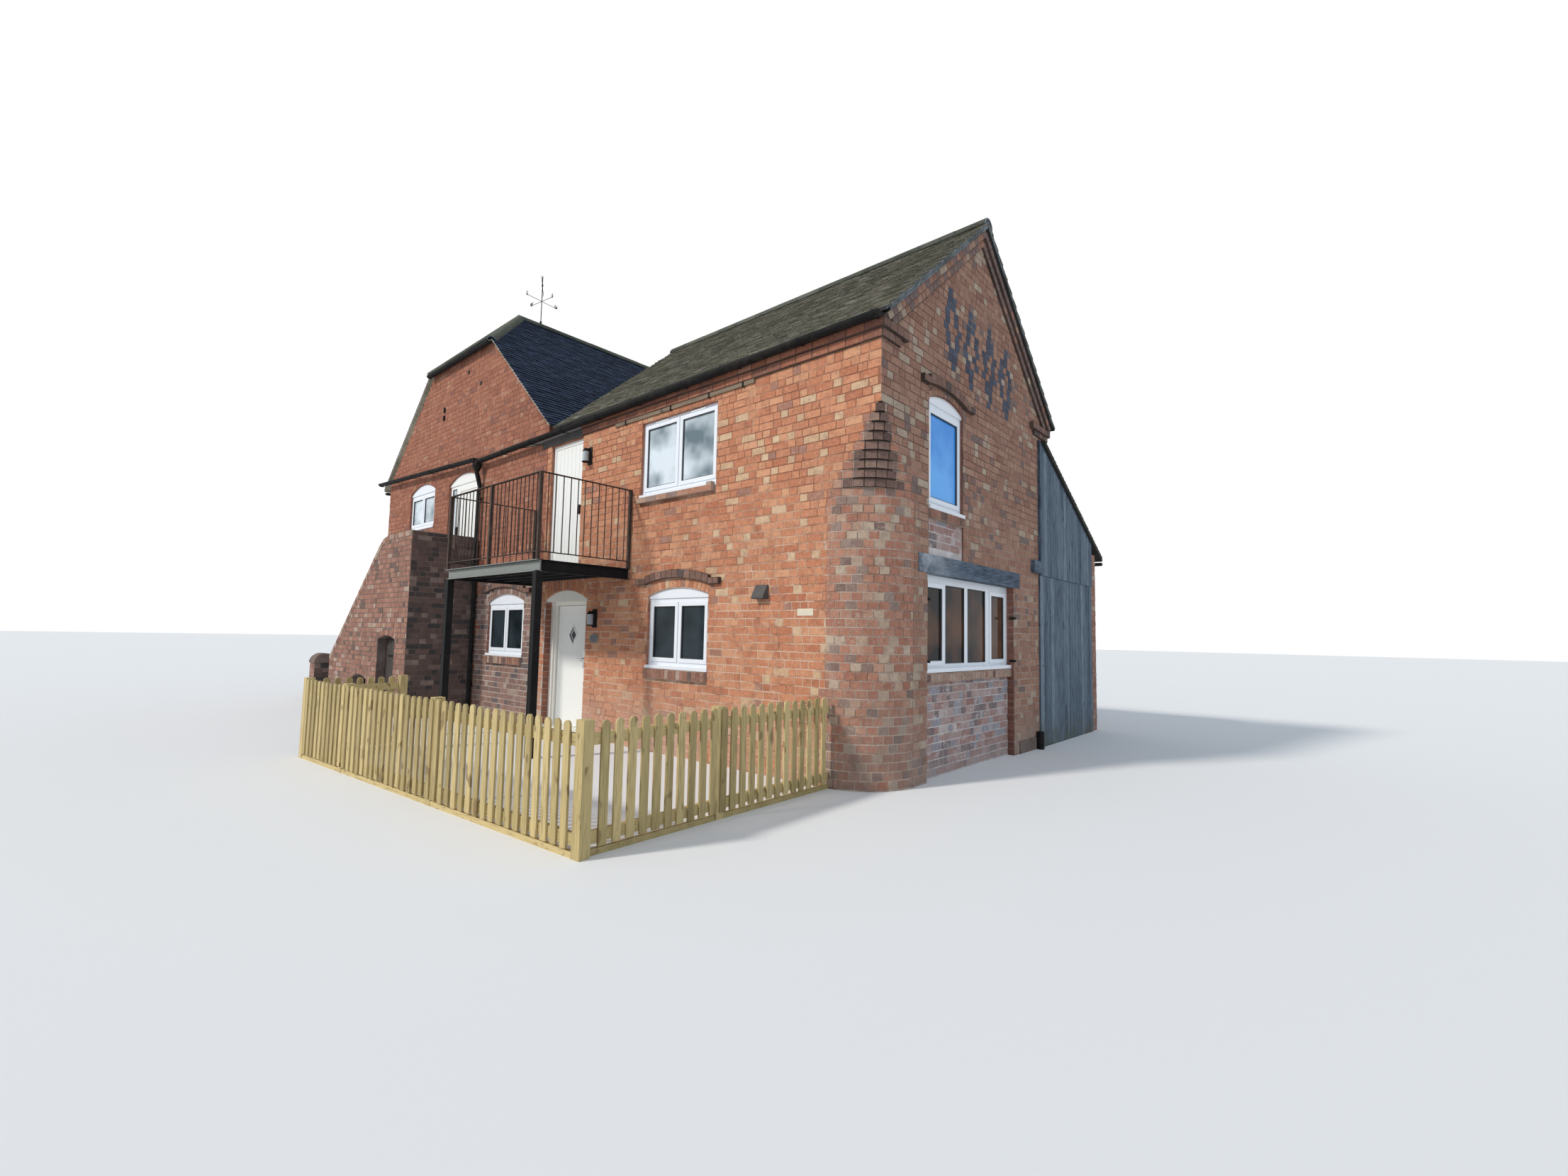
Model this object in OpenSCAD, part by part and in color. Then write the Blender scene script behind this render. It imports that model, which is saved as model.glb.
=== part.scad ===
// Brick oast house: a gabled range with a rounded, corbelled corner, a square half-hipped kiln,
// a boarded lean-to, an outside stair, a steel balcony and a picket fence.
// Lengths are millimetres. The plan is drawn from the foot of the corner between the front wall and
// the gable, with X along the front wall and Y into the building; site() then moves the whole so
// that the middle of the walls' plan, at ground level, is the origin.

/* [Brickwork] */
// Height of one brick course with its joint
course = 91; // [80:1:95]
// Thickness of the outer walls
wall = 340; // [300:5:360]
// How far a window frame sits back from the wall face
reveal = 30; // [25:1:50]
// How deep the old cart opening in the gable is filled back
recess = 95; // [80:5:110]

/* [Levels] */
// Top of the ground floor
floor_z = 80; // [60:5:90]
// Springing level of the ground floor arches
spring_z = 2045; // [2000:5:2060]
// Top of the upper floor, which is also the balcony and the landing level
deck_z = 2440; // [2420:5:2460]
// Top of the front wall of the range
plate_z = 4770; // [4740:5:4790]

/* [Range] */
// Depth of the range from front to back
range_d = 4650; // [4600:10:4700]
// Height of the range ridge
range_ridge_z = 6980; // [6900:10:7050]
// Slope of the range roof
range_pitch = 41; // [40:0.5:42]
// How far the tiles reach past the gable
verge = 110; // [90:5:130]
// Length of tile that shows in one course of the roofs
gauge = 100; // [90:5:110]

/* [Rounded corner] */
// Radius of the corner at the ground
corner_r = 660; // [600:10:680]
// Level at which the corner has become square
corner_top_z = 4015; // [3900:5:4100]
// Number of corbel steps from round to square
corner_steps = 10; // [6:1:12]

/* [Kiln] */
// Side of the square kiln
kiln_w = 7150; // [7050:10:7250]
// Distance from the gable to the kiln's near side
kiln_x = 6450; // [6430:5:6470]
// Height of the kiln ridge
kiln_ridge_z = 8380; // [8300:10:8450]
// Slope of the kiln roof
kiln_pitch = 43; // [42.5:0.5:43.5]
// Level of the half-hip eaves
half_hip_z = 7130; // [7050:10:7250]
// Slope of the half-hips
half_hip_pitch = 47; // [45:0.5:50]

/* [Lean-to] */
// Slope of the lean-to roof
lean_pitch = 27; // [26:0.5:28]
// Height of the lean-to roof where it meets the range
lean_top_z = 4475; // [4440:5:4500]

/* [Balcony] */
// Width of the balcony
balcony_w = 2660; // [2500:10:2700]
// How far the balcony reaches out from the wall
balcony_d = 1390; // [1300:10:1450]
// Height of the guard rail over the deck
rail_h = 1110; // [1100:5:1150]

/* [Stair] */
// Distance of the stair's outer face from the front wall
stair_d = 1145; // [1100:5:1200]
// Number of risers from the ground to the landing
risers = 13; // [13:1:14]

/* [Fence] */
// Height of the pickets over the ground
picket_h = 930; // [880:10:960]
// Distance from one picket to the next
picket_pitch = 120; // [110:5:130]

/* [Weathervane] */
// Height of the pointer over the ground
pointer_z = 9300; // [9250:10:9350]
// Length of the pointer
pointer_l = 860; // [700:10:900]

/* [Hidden] */
$fn = 48;

kiln_left = -kiln_x - kiln_w;
kiln_right = -kiln_x;
kiln_mid = (kiln_left + kiln_right) / 2;
kiln_back = kiln_w;
range_mid = 2360;
range_slope = tan(range_pitch);
kiln_slope = tan(kiln_pitch);
hip_slope = tan(half_hip_pitch);
lean_slope = tan(lean_pitch);
tile_t = 70;
eave_t = 34;
lap_t = 13;
range_tile_v = tile_t / cos(range_pitch);
kiln_tile_v = tile_t / cos(kiln_pitch);
lean_tile_v = tile_t / cos(lean_pitch);
eave_tip = 80;
kiln_eave_tip = 230;
kiln_verge = 70;
kiln_inner_tip = 100;
gable_end_x = -6170;
lean_eave_tip = 200;
lean_out = 80;
stair_left = -13050;
stair_right = -8850;
stair_wall = 230;
landing_x = -10300;
pier_left = -13950;
fence_corner = [-520, -2940];
fence_end = [-5940, -3240];

// Openings as [left, right, sill, springing or head, rise]
front_doorway = [-6315, -5140, 0, spring_z, 140];
low_window = [-3665, -2470, 1085, spring_z, 100];
small_window = [-8305, -7015, 1100, spring_z, 138];
upper_window = [-3920, -2390, 3400, 4465, 0];
balcony_doorway = [-6325, -5410, deck_z, 4560, 0];
kiln_window = [-12310, -11000, 3680, 4500, 165];
landing_doorway = [-10290, -8960, deck_z + 30, 4455, 168];
gable_low = [965, 3385, 1170, 2270, 0];
gable_high = [985, 1840, 2990, 4250, 95];
store_doorway = [-10220, -9370, -1, 1345, 70];
kennel = [-11560, -10730, -1, 565, 82];
back_low = [-11000, -9800, 1085, spring_z, 100];
back_high = [-11000, -9800, 3435, 4390, 100];
west_low = [2975, 4175, 1085, spring_z, 100];
west_high = [2975, 4175, 3435, 4390, 100];
lean_window = [-4300, -3100, 1085, spring_z, 0];

low_sill = 125;
high_sill = 75;
gable_sill = 112;
infill_sill = 100;
bed = 1;

brick = "#b5623f";
dark_brick = "#8a5a4c";
tile = "#5b5a49";
slate_tile = "#2e3a4a";
white_frame = "#eceff0";
steel = "#55524e";
pine = "#c3b777";
iron = "#23272b";

function width(o) = o[1] - o[0];
function range_top(y) = range_ridge_z - range_slope * abs(y - range_mid);
function kiln_top(x) = kiln_ridge_z - kiln_slope * abs(x - kiln_mid);
function lean_top(y) = lean_top_z - lean_slope * (y - range_d);

module site() {
    translate([-kiln_left / 2, -kiln_back / 2, 0]) children();
}

// A block between two corners
module block(low, high) {
    translate(low) cube(high - low);
}

// A drawing in X and Z made solid from y0 to y1
module along_y(y0, y1) {
    translate([0, y1, 0]) rotate([90, 0, 0]) linear_extrude(y1 - y0) children();
}

// A drawing in Y and Z made solid from x0 to x1
module along_x(x0, x1) {
    translate([x0, 0, 0]) rotate([90, 0, 90]) linear_extrude(x1 - x0) children();
}

// Places what is drawn for the front wall, with Y into the building, in the other three walls
module in_gable() {
    rotate([0, 0, 90]) children();
}

module in_back() {
    translate([0, kiln_back, 0]) rotate([0, 0, 180]) children();
}

module in_west() {
    translate([kiln_left, 0, 0]) rotate([0, 0, -90]) children();
}

// The same opening seen from a wall that faces the other way
function turned(o) = [-o[1], -o[0], o[2], o[3], o[4]];

// Outline of an opening with a segmental or a flat head, and of the sill under it
module opening(o, sill = 0) {
    low = o[2] - sill;
    radius = o[4] > 0 ? (width(o) ^ 2 / 4 + o[4] ^ 2) / (2 * o[4]) : 0;
    if (o[4] > 0) intersection() {
        translate([(o[0] + o[1]) / 2, o[3] + o[4] - radius]) circle(radius, $fn = 360);
        translate([o[0], low]) square([width(o), o[3] + o[4] + 100 - low]);
    }
    else translate([o[0], low]) square([width(o), o[3] - low]);
}

// Projecting band over an arch, with a level end or block stop on each side. lean moves the crown
// of the band sideways from the middle of the opening.
module hood(o, crown, radius, depth, left, right, lean) {
    mid = (o[0] + o[1]) / 2;
    half = width(o) / 2 + 25;
    centre = [mid + lean, crown - radius];
    foot = [for (side = [-1, 1]) centre.y + sqrt(radius ^ 2 - (side * half - lean) ^ 2)];
    difference() {
        intersection() {
            translate(centre) circle(radius + depth, $fn = 360);
            translate([mid - half, min(foot)]) square([2 * half, 400]);
        }
        translate(centre) circle(radius, $fn = 360);
    }
    translate([mid - half - left, foot[0] - 8]) square([left + 6, 80]);
    translate([mid + half - 6, foot[1] - 8]) square([right + 6, 80]);
}

module ground_floor() {
    color("#9a938a") site() {
        difference() {
            union() {
                block([kiln_left + wall, wall, 0], [-wall, range_d - wall, floor_z]);
                block([kiln_left + wall, wall, 0], [kiln_right - wall, kiln_back - wall, floor_z]);
            }
            block([-corner_r, 0, -1], [0, corner_r, floor_z + 1]);
        }
        block([kiln_right, range_d, 0], [-75, kiln_back - wall, floor_z]);
    }
}

module upper_floor() {
    color("#8b6a48") site() difference() {
        union() {
            block([kiln_left + wall, wall, deck_z - 200], [-wall, range_d - wall, deck_z]);
            block([kiln_left + wall, wall, deck_z - 200], [kiln_right - wall, kiln_back - wall, deck_z]);
        }
        block([-corner_r, 0, 0], [0, corner_r, deck_z + 1]);
    }
}

// Plan of the corner: two arms of wall with the outer angle rounded
module corner_plan(radius) {
    difference() {
        translate([-corner_r, 0]) square(corner_r);
        translate([-corner_r - 1, wall]) square([corner_r - wall + 1, corner_r]);
        if (radius > 0) difference() {
            translate([-radius, -1]) square([radius + 1, radius + 1]);
            translate([-radius, radius]) circle(radius, $fn = 96);
        }
    }
}

module rounded_corner() {
    foot = corner_top_z - corner_steps * course;
    color(dark_brick) site() union() {
        linear_extrude(foot) corner_plan(corner_r);
        for (i = [1:corner_steps - 1])
            translate([0, 0, foot + (i - 1) * course])
                linear_extrude(course) corner_plan(corner_r * (corner_steps - i) / corner_steps);
        translate([0, 0, corner_top_z - course])
            linear_extrude(plate_z - corner_top_z + course) corner_plan(0);
    }
}

module range_front_wall_lower() {
    color(brick) site() along_y(0, wall) difference() {
        translate([front_doorway[1], 0]) square([-corner_r - front_doorway[1], spring_z]);
        opening(low_window, low_sill);
    }
}

module range_front_wall_upper() {
    color(brick) site() along_y(0, wall) difference() {
        translate([kiln_right, spring_z]) square([-corner_r - kiln_right, plate_z - spring_z]);
        opening(front_doorway);
        opening(low_window);
        opening(upper_window, high_sill);
        opening(balcony_doorway);
    }
}

module gable_wall_lower() {
    color(brick) site() {
        block([-wall, corner_r, 0], [0, gable_low[0], gable_low[3]]);
        block([-wall, gable_low[1], 0], [0, range_d, gable_low[3]]);
    }
}

// Outline of the gable from the lintel level to the underside of the tiles
module gable_outline() {
    top = range_ridge_z - range_tile_v - bed;
    foot = top - range_slope * range_mid;
    back = top - range_slope * (range_d - range_mid);
    polygon([[corner_r, gable_low[3]], [range_d, gable_low[3]], [range_d, back], [range_mid, top],
        [0, foot], [0, plate_z], [corner_r, plate_z]]);
}

lintel_h = 208;
lintel_y = [760, 3575];

module gable_wall_upper() {
    color(brick) site() difference() {
        along_x(-wall, 0) difference() {
            gable_outline();
            opening([gable_high[0], gable_high[1], gable_low[3] + lintel_h, gable_high[3], gable_high[4]]);
        }
        block([-140, lintel_y[0], gable_low[3] - 1], [1, lintel_y[1], gable_low[3] + lintel_h]);
    }
}

module gable_infill() {
    color("#b98d7b") site() {
        block([-wall, gable_low[0], 0], [-recess, gable_low[1], gable_low[2] - gable_sill]);
        block([-wall, gable_high[0], gable_low[3] + lintel_h],
            [-20, gable_high[1], gable_high[2] - infill_sill]);
    }
}

module gable_lintel() {
    color("#2b2a2c") site() {
        block([-140, lintel_y[0], gable_low[3]], [12, lintel_y[1], gable_low[3] + lintel_h]);
        block([0, 4030, 2540], [60, 4315, 2720]);
    }
}

// A band that rakes with the tiles, drawn in Y and Z, and stops on the level courses
module raking_band(drop, depth) {
    top = range_ridge_z - range_tile_v - bed - drop;
    low = depth / cos(range_pitch);
    reach = (top - plate_z) / range_slope;
    end = (top - low - plate_z) / range_slope;
    intersection() {
        polygon([[range_mid, top], [range_mid - reach, plate_z], [range_mid - end, plate_z],
            [range_mid, top - low], [range_mid + end, plate_z], [range_mid + reach, plate_z]]);
        translate([-58, plate_z]) square([range_d + 116, 3000]);
    }
}

module corbel_courses() {
    upper = plate_z - course;
    lower = plate_z - 2 * course;
    left = balcony_doorway[1];
    color(brick) site() {
        along_x(0, 66) raking_band(0, 90);
        along_x(0, 33) raking_band(90 / cos(range_pitch), 90);
        block([left, -30, lower], [30, 0, upper]);
        block([0, 0, lower], [30, 330, upper]);
        block([left, -60, upper], [60, 0, plate_z]);
        block([0, 0, upper], [60, 450, plate_z]);
        block([0, range_d - 520, lower + 16], [30, range_d + 30, upper]);
        block([0, range_d - 640, upper], [60, range_d + 58, plate_z]);
    }
}

module range_back_wall() {
    color(brick) site() block([kiln_right, range_d - wall, 0], [-wall, range_d, plate_z]);
}

// A slope from its top to its foot, stepped back under the tail of each course of tiles
function courses(top, foot, lap) = lap == 0 ? [foot] : let(
        d = foot - top,
        u = d / norm(d),
        n = round(norm(d) / gauge),
        under = lap * [u.y * sign(u.x), -abs(u.x)])
    [for (i = [1:n], j = [0, 1]) if (i < n || j == 0) top + d * i / n + j * under];

function reversed(list) = [for (i = [len(list) - 1:-1:0]) list[i]];

// Outline of the range roof in Y and Z, thin where the tiles run past the walls
module range_roof_outline(lap = 0) {
    ridge = [range_mid, range_ridge_z];
    front = -eave_tip;
    back = 2 * range_mid + eave_tip;
    thin = eave_t / cos(range_pitch);
    polygon(concat([ridge - [0, lap]], courses(ridge, [back, range_top(back)], lap),
        [[back, range_top(back) - thin], [range_d + 10, range_top(range_d + 10) - thin],
            [range_d + 10, range_top(range_d + 10) - range_tile_v], [range_mid, range_ridge_z - range_tile_v],
            [-10, range_top(-10) - range_tile_v], [-10, range_top(-10) - thin],
            [front, range_top(front) - thin]],
        reversed(courses(ridge, [front, range_top(front)], lap))));
}

// The kiln under the outer face of its tiles, stepped with the courses
module kiln_tiles(low_z) {
    x0 = kiln_left - kiln_eave_tip;
    x1 = kiln_right + kiln_inner_tip;
    y0 = -kiln_verge;
    y1 = kiln_back + kiln_verge;
    hip_run = (kiln_ridge_z - half_hip_z) / hip_slope;
    foot_z = half_hip_z - hip_slope * kiln_verge;
    ridge = [kiln_mid, kiln_ridge_z];
    intersection() {
        along_y(y0, y1) polygon(concat([[x0, low_z]], reversed(courses(ridge, [x0, kiln_top(x0)], lap_t)),
            [ridge - [0, lap_t]], courses(ridge, [x1, kiln_top(x1)], lap_t), [[x1, low_z]]));
        along_x(x0, x1) polygon(concat([[y0, low_z]],
            reversed(courses([hip_run, kiln_ridge_z], [y0, foot_z], lap_t)),
            [[hip_run, kiln_ridge_z], [kiln_back - hip_run, kiln_ridge_z]],
            courses([kiln_back - hip_run, kiln_ridge_z], [y1, foot_z], lap_t), [[y1, low_z]]));
    }
}

// The kiln under the plain outer face of its tiles, or under the inner face with a drop
module kiln_envelope(drop, hip_drop, low_z, out, front) {
    top = kiln_ridge_z - drop;
    x0 = kiln_left - out[0];
    x1 = kiln_right + out[1];
    y0 = -front;
    y1 = kiln_back + front;
    hip_run = (kiln_ridge_z - half_hip_z) / hip_slope;
    intersection() {
        along_y(y0, y1) polygon([[x0, low_z], [x1, low_z], [x1, kiln_top(x1) - drop], [kiln_mid, top],
            [x0, kiln_top(x0) - drop]]);
        along_x(x0, x1) polygon([[y0, low_z], [y1, low_z],
            [y1, half_hip_z - hip_drop - hip_slope * front],
            [kiln_back - hip_run - (hip_drop - drop) / hip_slope, top],
            [hip_run + (hip_drop - drop) / hip_slope, top],
            [y0, half_hip_z - hip_drop - hip_slope * front]]);
    }
}

module range_roof() {
    color(tile) site() along_x(gable_end_x - 30, verge) range_roof_outline(lap_t);
}

// The end of the range above the kiln's eaves: a gable wall, and the lead gutter at its foot
module range_west_gable() {
    top = range_ridge_z - range_tile_v - bed;
    color(brick) site() {
        along_x(gable_end_x, gable_end_x + 180) polygon([[0, plate_z], [range_d, plate_z],
            [range_d, top - range_slope * (range_d - range_mid)], [range_mid, top],
            [0, top - range_slope * range_mid]]);
        block([kiln_right, 0, plate_z], [gable_end_x, range_d, plate_z + 12]);
    }
}

module kiln_roof() {
    hip_v = tile_t / cos(half_hip_pitch);
    low = kiln_top(kiln_left - kiln_eave_tip) - kiln_tile_v;
    far = [kiln_eave_tip + 100, kiln_inner_tip + 100];
    color(slate_tile) site() difference() {
        kiln_tiles(low);
        kiln_envelope(kiln_tile_v, hip_v, 0, far, kiln_verge + 100);
        difference() {
            kiln_envelope(eave_t / cos(kiln_pitch), eave_t / cos(half_hip_pitch), 0, far, kiln_verge + 100);
            block([kiln_left - 10, -10, 0], [kiln_right + 10, kiln_back + 10, kiln_ridge_z]);
        }
    }
}

// Half-round ridge tiles, bedded on the tiles of the two slopes
module ridge_run(from, to, radius) {
    d = to - from;
    len = norm(d);
    translate(from) rotate([0, 0, atan2(d.y, d.x)]) rotate([0, 90 - asin(d.z / len), 0])
        difference() {
            cylinder(h = len, r = radius);
            translate([0, 0, -1]) cylinder(h = len + 2, r = radius - 18);
            translate([0, -radius, -1]) cube([radius, 2 * radius, len + 2]);
        }
}

module ridge_tiles() {
    hip_run = (kiln_ridge_z - half_hip_z) / hip_slope;
    range_z = range_ridge_z - 84;
    kiln_z = kiln_ridge_z - 88;
    hip_foot_z = half_hip_z - kiln_verge * hip_slope;
    hip_w = (kiln_ridge_z - hip_foot_z) / kiln_slope;
    color("#4a4a42") site() {
        difference() {
            ridge_run([gable_end_x - 30, range_mid, range_z], [verge, range_mid, range_z], 110);
            translate([0, 0, bed]) along_x(gable_end_x - 100, verge + 100) range_roof_outline();
        }
        difference() {
            union() {
                ridge_run([kiln_mid, hip_run - 60, kiln_z], [kiln_mid, kiln_back - hip_run + 60, kiln_z], 110);
                for (x = [-hip_w, hip_w]) {
                    ridge_run([kiln_mid + x, -kiln_verge, hip_foot_z - 62],
                        [kiln_mid, hip_run, kiln_ridge_z - 62], 92);
                    ridge_run([kiln_mid + x, kiln_back + kiln_verge, hip_foot_z - 62],
                        [kiln_mid, kiln_back - hip_run, kiln_ridge_z - 62], 92);
                }
            }
            translate([0, 0, bed]) kiln_envelope(0, 0, 5000, [kiln_eave_tip, kiln_inner_tip], kiln_verge);
        }
    }
}

module lean_to_wall() {
    top = lean_top(kiln_back - wall) - lean_tile_v;
    color(brick) site() along_y(kiln_back - wall, kiln_back) difference() {
        translate([kiln_right, 0]) square([-kiln_right, lean_top(kiln_back) - lean_tile_v - bed]);
        opening(lean_window);
    }
}

module lean_to_boards() {
    y0 = 4320;
    y1 = kiln_back - 320;
    under = lean_tile_v + 4;
    split = 2520;
    color("#7c8287") site() {
        along_x(0, 25) polygon([[y0, 0], [y1, 0], [y1, lean_top(y1) - under], [y0, lean_top(y0) - under]]);
        along_x(25, 38) polygon([[y0, split], [y1, split], [y1, lean_top(y1) - under],
            [y0, lean_top(y0) - under]]);
        block([-75, range_d, floor_z], [0, kiln_back - wall, 150]);
        block([-75, range_d, 1680], [0, kiln_back - wall, 1780]);
    }
}

// Outline of the lean-to roof in Y and Z from a line on it down to the back eaves
module lean_roof_outline(from) {
    back = kiln_back + lean_eave_tip;
    polygon(concat([[from, lean_top(from) - lean_tile_v], [from, lean_top(from)]],
        courses([range_d, lean_top_z], [back, lean_top(back)], lap_t), [[back, lean_top(back) - lean_tile_v]]));
}

module lean_to_roof() {
    color(tile) site() {
        along_x(kiln_right, 0) lean_roof_outline(range_d);
        along_x(0, lean_out) lean_roof_outline(4445);
    }
}

module kiln_front_wall_lower() {
    color(brick) site() along_y(0, wall) difference() {
        translate([kiln_left, 0]) square([front_doorway[0] - kiln_left, spring_z]);
        opening(small_window, low_sill);
    }
}

// Outline of a kiln gable in X and Z, from a level to the underside of the tiles
module kiln_gable_outline(low) {
    top = half_hip_z - kiln_tile_v - 60;
    reach = (kiln_ridge_z - kiln_tile_v - bed - top) / kiln_slope;
    foot = kiln_top(kiln_left) - kiln_tile_v - bed;
    polygon([[kiln_left, low], [kiln_right, low], [kiln_right, foot], [kiln_mid + reach, top],
        [kiln_mid - reach, top], [kiln_left, foot]]);
}

module kiln_front_wall_upper() {
    color(brick) site() along_y(0, wall) difference() {
        kiln_gable_outline(spring_z);
        opening(small_window);
        opening(kiln_window);
        opening(landing_doorway);
    }
}

module kiln_west_wall() {
    color(brick) site() along_x(kiln_left, kiln_left + wall) difference() {
        translate([wall, 0]) square([kiln_back - 2 * wall, kiln_top(kiln_left) - kiln_tile_v - bed]);
        opening(west_low);
        opening(west_high);
    }
}

module kiln_back_wall() {
    color(brick) site() along_y(kiln_back - wall, kiln_back) difference() {
        kiln_gable_outline(0);
        opening(back_low);
        opening(back_high);
    }
}

module kiln_east_wall() {
    top = kiln_top(kiln_right) - kiln_tile_v - bed;
    color(brick) site() {
        block([kiln_right - wall, range_d - wall, 0], [kiln_right, kiln_back - wall, top]);
        block([kiln_right - 250, wall, top - 280], [kiln_right, range_d - wall, top]);
    }
}

module hood_moulds() {
    color(dark_brick) site() {
        along_y(-48, 0) hood(low_window, spring_z + 226, 2400, 104, 230, 190, -60);
        along_y(-48, 0) hood(small_window, spring_z + 260, 2445, 104, 190, 215, -64);
        along_x(0, 48) hood(gable_high, gable_high[3] + 172, 2070, 115, 165, 215, -110);
    }
}

// Sill in a wall along X: it fills the foot of the opening and stands proud of the face
module sill_along_x(o, high, proud, ears) {
    block([o[0], 0, o[2] - high], [o[1], wall, o[2]]);
    block([o[0] - ears[0], -proud, o[2] - high], [o[1] + ears[1], 0, o[2]]);
}

module sills() {
    color("#8d6357") site() {
        for (o = [low_window, small_window]) sill_along_x(o, low_sill, 45, [0, 0]);
        sill_along_x(upper_window, high_sill, 60, [10, -25]);
        block([-2510, -60, upper_window[2] - 5], [-2420, 0, upper_window[2] + 40]);
        block([-wall, gable_low[0], gable_low[2] - gable_sill], [-recess, gable_low[1], gable_low[2]]);
        in_gable() along_x(gable_low[0], gable_low[1]) translate([0, gable_low[2] - gable_sill]) hull() {
            translate([recess - 1, 0]) square([2, gable_sill]);
            translate([recess - 55, 0]) square([10, gable_sill - 30]);
            translate([recess - 30, gable_sill - 25]) circle(25);
        }
        block([-wall, gable_high[0], gable_high[2] - infill_sill], [30, gable_high[1], gable_high[2]]);
    }
}

// Clear glass of the lights of a window as [left, right, bottom, top]
stile = 94;
meeting = 126;
frame_t = 70;
function glass_low(o) = o[2] + 148;
function glass_top(o) = o[3] - (o[4] > 0 ? 138 : 92);
function lights(o, n) = n == 1
    ? [[o[0] + stile, o[1] - stile, glass_low(o), glass_top(o)]]
    : [[o[0] + stile, (o[0] + o[1] - meeting) / 2, glass_low(o), glass_top(o)],
        [(o[0] + o[1] + meeting) / 2, o[1] - stile, glass_low(o), glass_top(o)]];

// The wide gable window: two fixed lights between two narrow casements
cart_lights = [[1090, 1487, 1296, 2130], [1582, 2071, 1262, 2178], [2170, 2678, 1262, 2178],
    [2850, 3257, 1296, 2130]];

module light_shapes(panes, grow = 0) {
    for (p = panes) translate([p[0] - grow, p[2] - grow])
        square([p[1] - p[0] + 2 * grow, p[3] - p[2] + 2 * grow]);
}

// A window: outer frame, casements that stand proud of it, a board in the arch and a sill.
// back is the distance from the wall face to the face of the casements, horn how far the sill
// reaches past the opening.
module window(o, panes, casements, back, horn = 15) {
    along_y(back + 12, back + frame_t) difference() {
        opening([o[0], o[1], o[2] + 45, o[3], o[4]]);
        light_shapes(panes);
    }
    along_y(back, back + 12) difference() {
        light_shapes(casements, 52);
        light_shapes(panes);
    }
    if (o[4] > 0) along_y(back - 6, back + 12) intersection() {
        opening(o);
        translate([o[0], o[3] - 34]) square([width(o), o[4] + 60]);
    }
    block([o[0], max(0, back - 50), o[2]], [o[1], back + frame_t, o[2] + 45]);
    if (back < 50) block([o[0], back - 50, o[2] + 4], [o[1] + horn, 0, o[2] + 45]);
}

module pair(o, horn = 15) {
    window(o, lights(o, 2), lights(o, 2), reveal, horn);
}

module window_frames_ground() {
    color(white_frame) site() {
        pair(low_window);
        pair(small_window);
        in_gable() window(gable_low, cart_lights, [cart_lights[0], cart_lights[3]], recess - 5);
        in_back() pair(turned(back_low));
        in_back() pair(turned(lean_window));
        in_west() pair(turned(west_low));
    }
}

module window_frames_upper() {
    color(white_frame) site() {
        pair(upper_window, -125);
        pair(kiln_window);
        in_gable() window(gable_high, lights(gable_high, 1), lights(gable_high, 1), reveal);
        in_back() pair(turned(back_high));
        in_west() pair(turned(west_high));
    }
}

// The glass of one window, held by its frame all round
module glazing(panes, back) {
    along_y(back + 25, back + 37) light_shapes(panes);
}

module window_glass_ground() {
    color("#8fb0c4") site() {
        for (o = [low_window, small_window]) glazing(lights(o, 2), reveal);
        in_gable() glazing(cart_lights, recess - 5);
        in_back() for (o = [back_low, lean_window]) glazing(lights(turned(o), 2), reveal);
        in_west() glazing(lights(turned(west_low), 2), reveal);
    }
}

module window_glass_upper() {
    color("#8fb0c4") site() {
        for (o = [upper_window, kiln_window]) glazing(lights(o, 2), reveal);
        glazing([landing_side_light(landing_doorway)], reveal);
        in_gable() glazing(lights(gable_high, 1), reveal);
        in_back() glazing(lights(turned(back_high), 2), reveal);
        in_west() glazing(lights(turned(west_high), 2), reveal);
    }
}

// Front door: a board in the arch near the wall face, the frame deep in the reveal, then the leaf
door_y = 130;
jamb = 150;
door_leaf_t = 45;
threshold_z = 90;
leaf_gap = 6;
diamond = [-5725, 1500, 158, 202];

module front_door_frame() {
    o = front_doorway;
    color("#e9e4d3") site() {
        along_y(door_y, door_y + 80) difference() {
            opening(o);
            translate([o[0] + jamb, threshold_z]) square([width(o) - 2 * jamb, spring_z - 85 - threshold_z]);
        }
        for (x = [o[0], o[1] - 95]) block([x, door_y - 22, 75], [x + 95, door_y, spring_z - 28]);
        along_y(14, door_y) intersection() {
            opening(o);
            translate([o[0], o[3] - 28]) square([width(o), o[4] + 60]);
        }
        block([o[0], -20, 0], [o[1], door_y, 75]);
    }
}

module front_door() {
    o = front_doorway;
    y = door_y + 30;
    color("#ece6d6") site() difference() {
        block([o[0] + jamb + leaf_gap, y, threshold_z + leaf_gap],
            [o[1] - jamb - leaf_gap, y + door_leaf_t, spring_z - 85 - leaf_gap]);
        along_y(y - 1, y + 12) translate([diamond[0], diamond[1]])
            scale([diamond[2], diamond[3]]) rotate(90) circle(0.72, $fn = 4);
    }
}

function landing_side_light(o) = [o[0] + 95, o[0] + 275, o[2] + 110, o[3] - 90];

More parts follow.
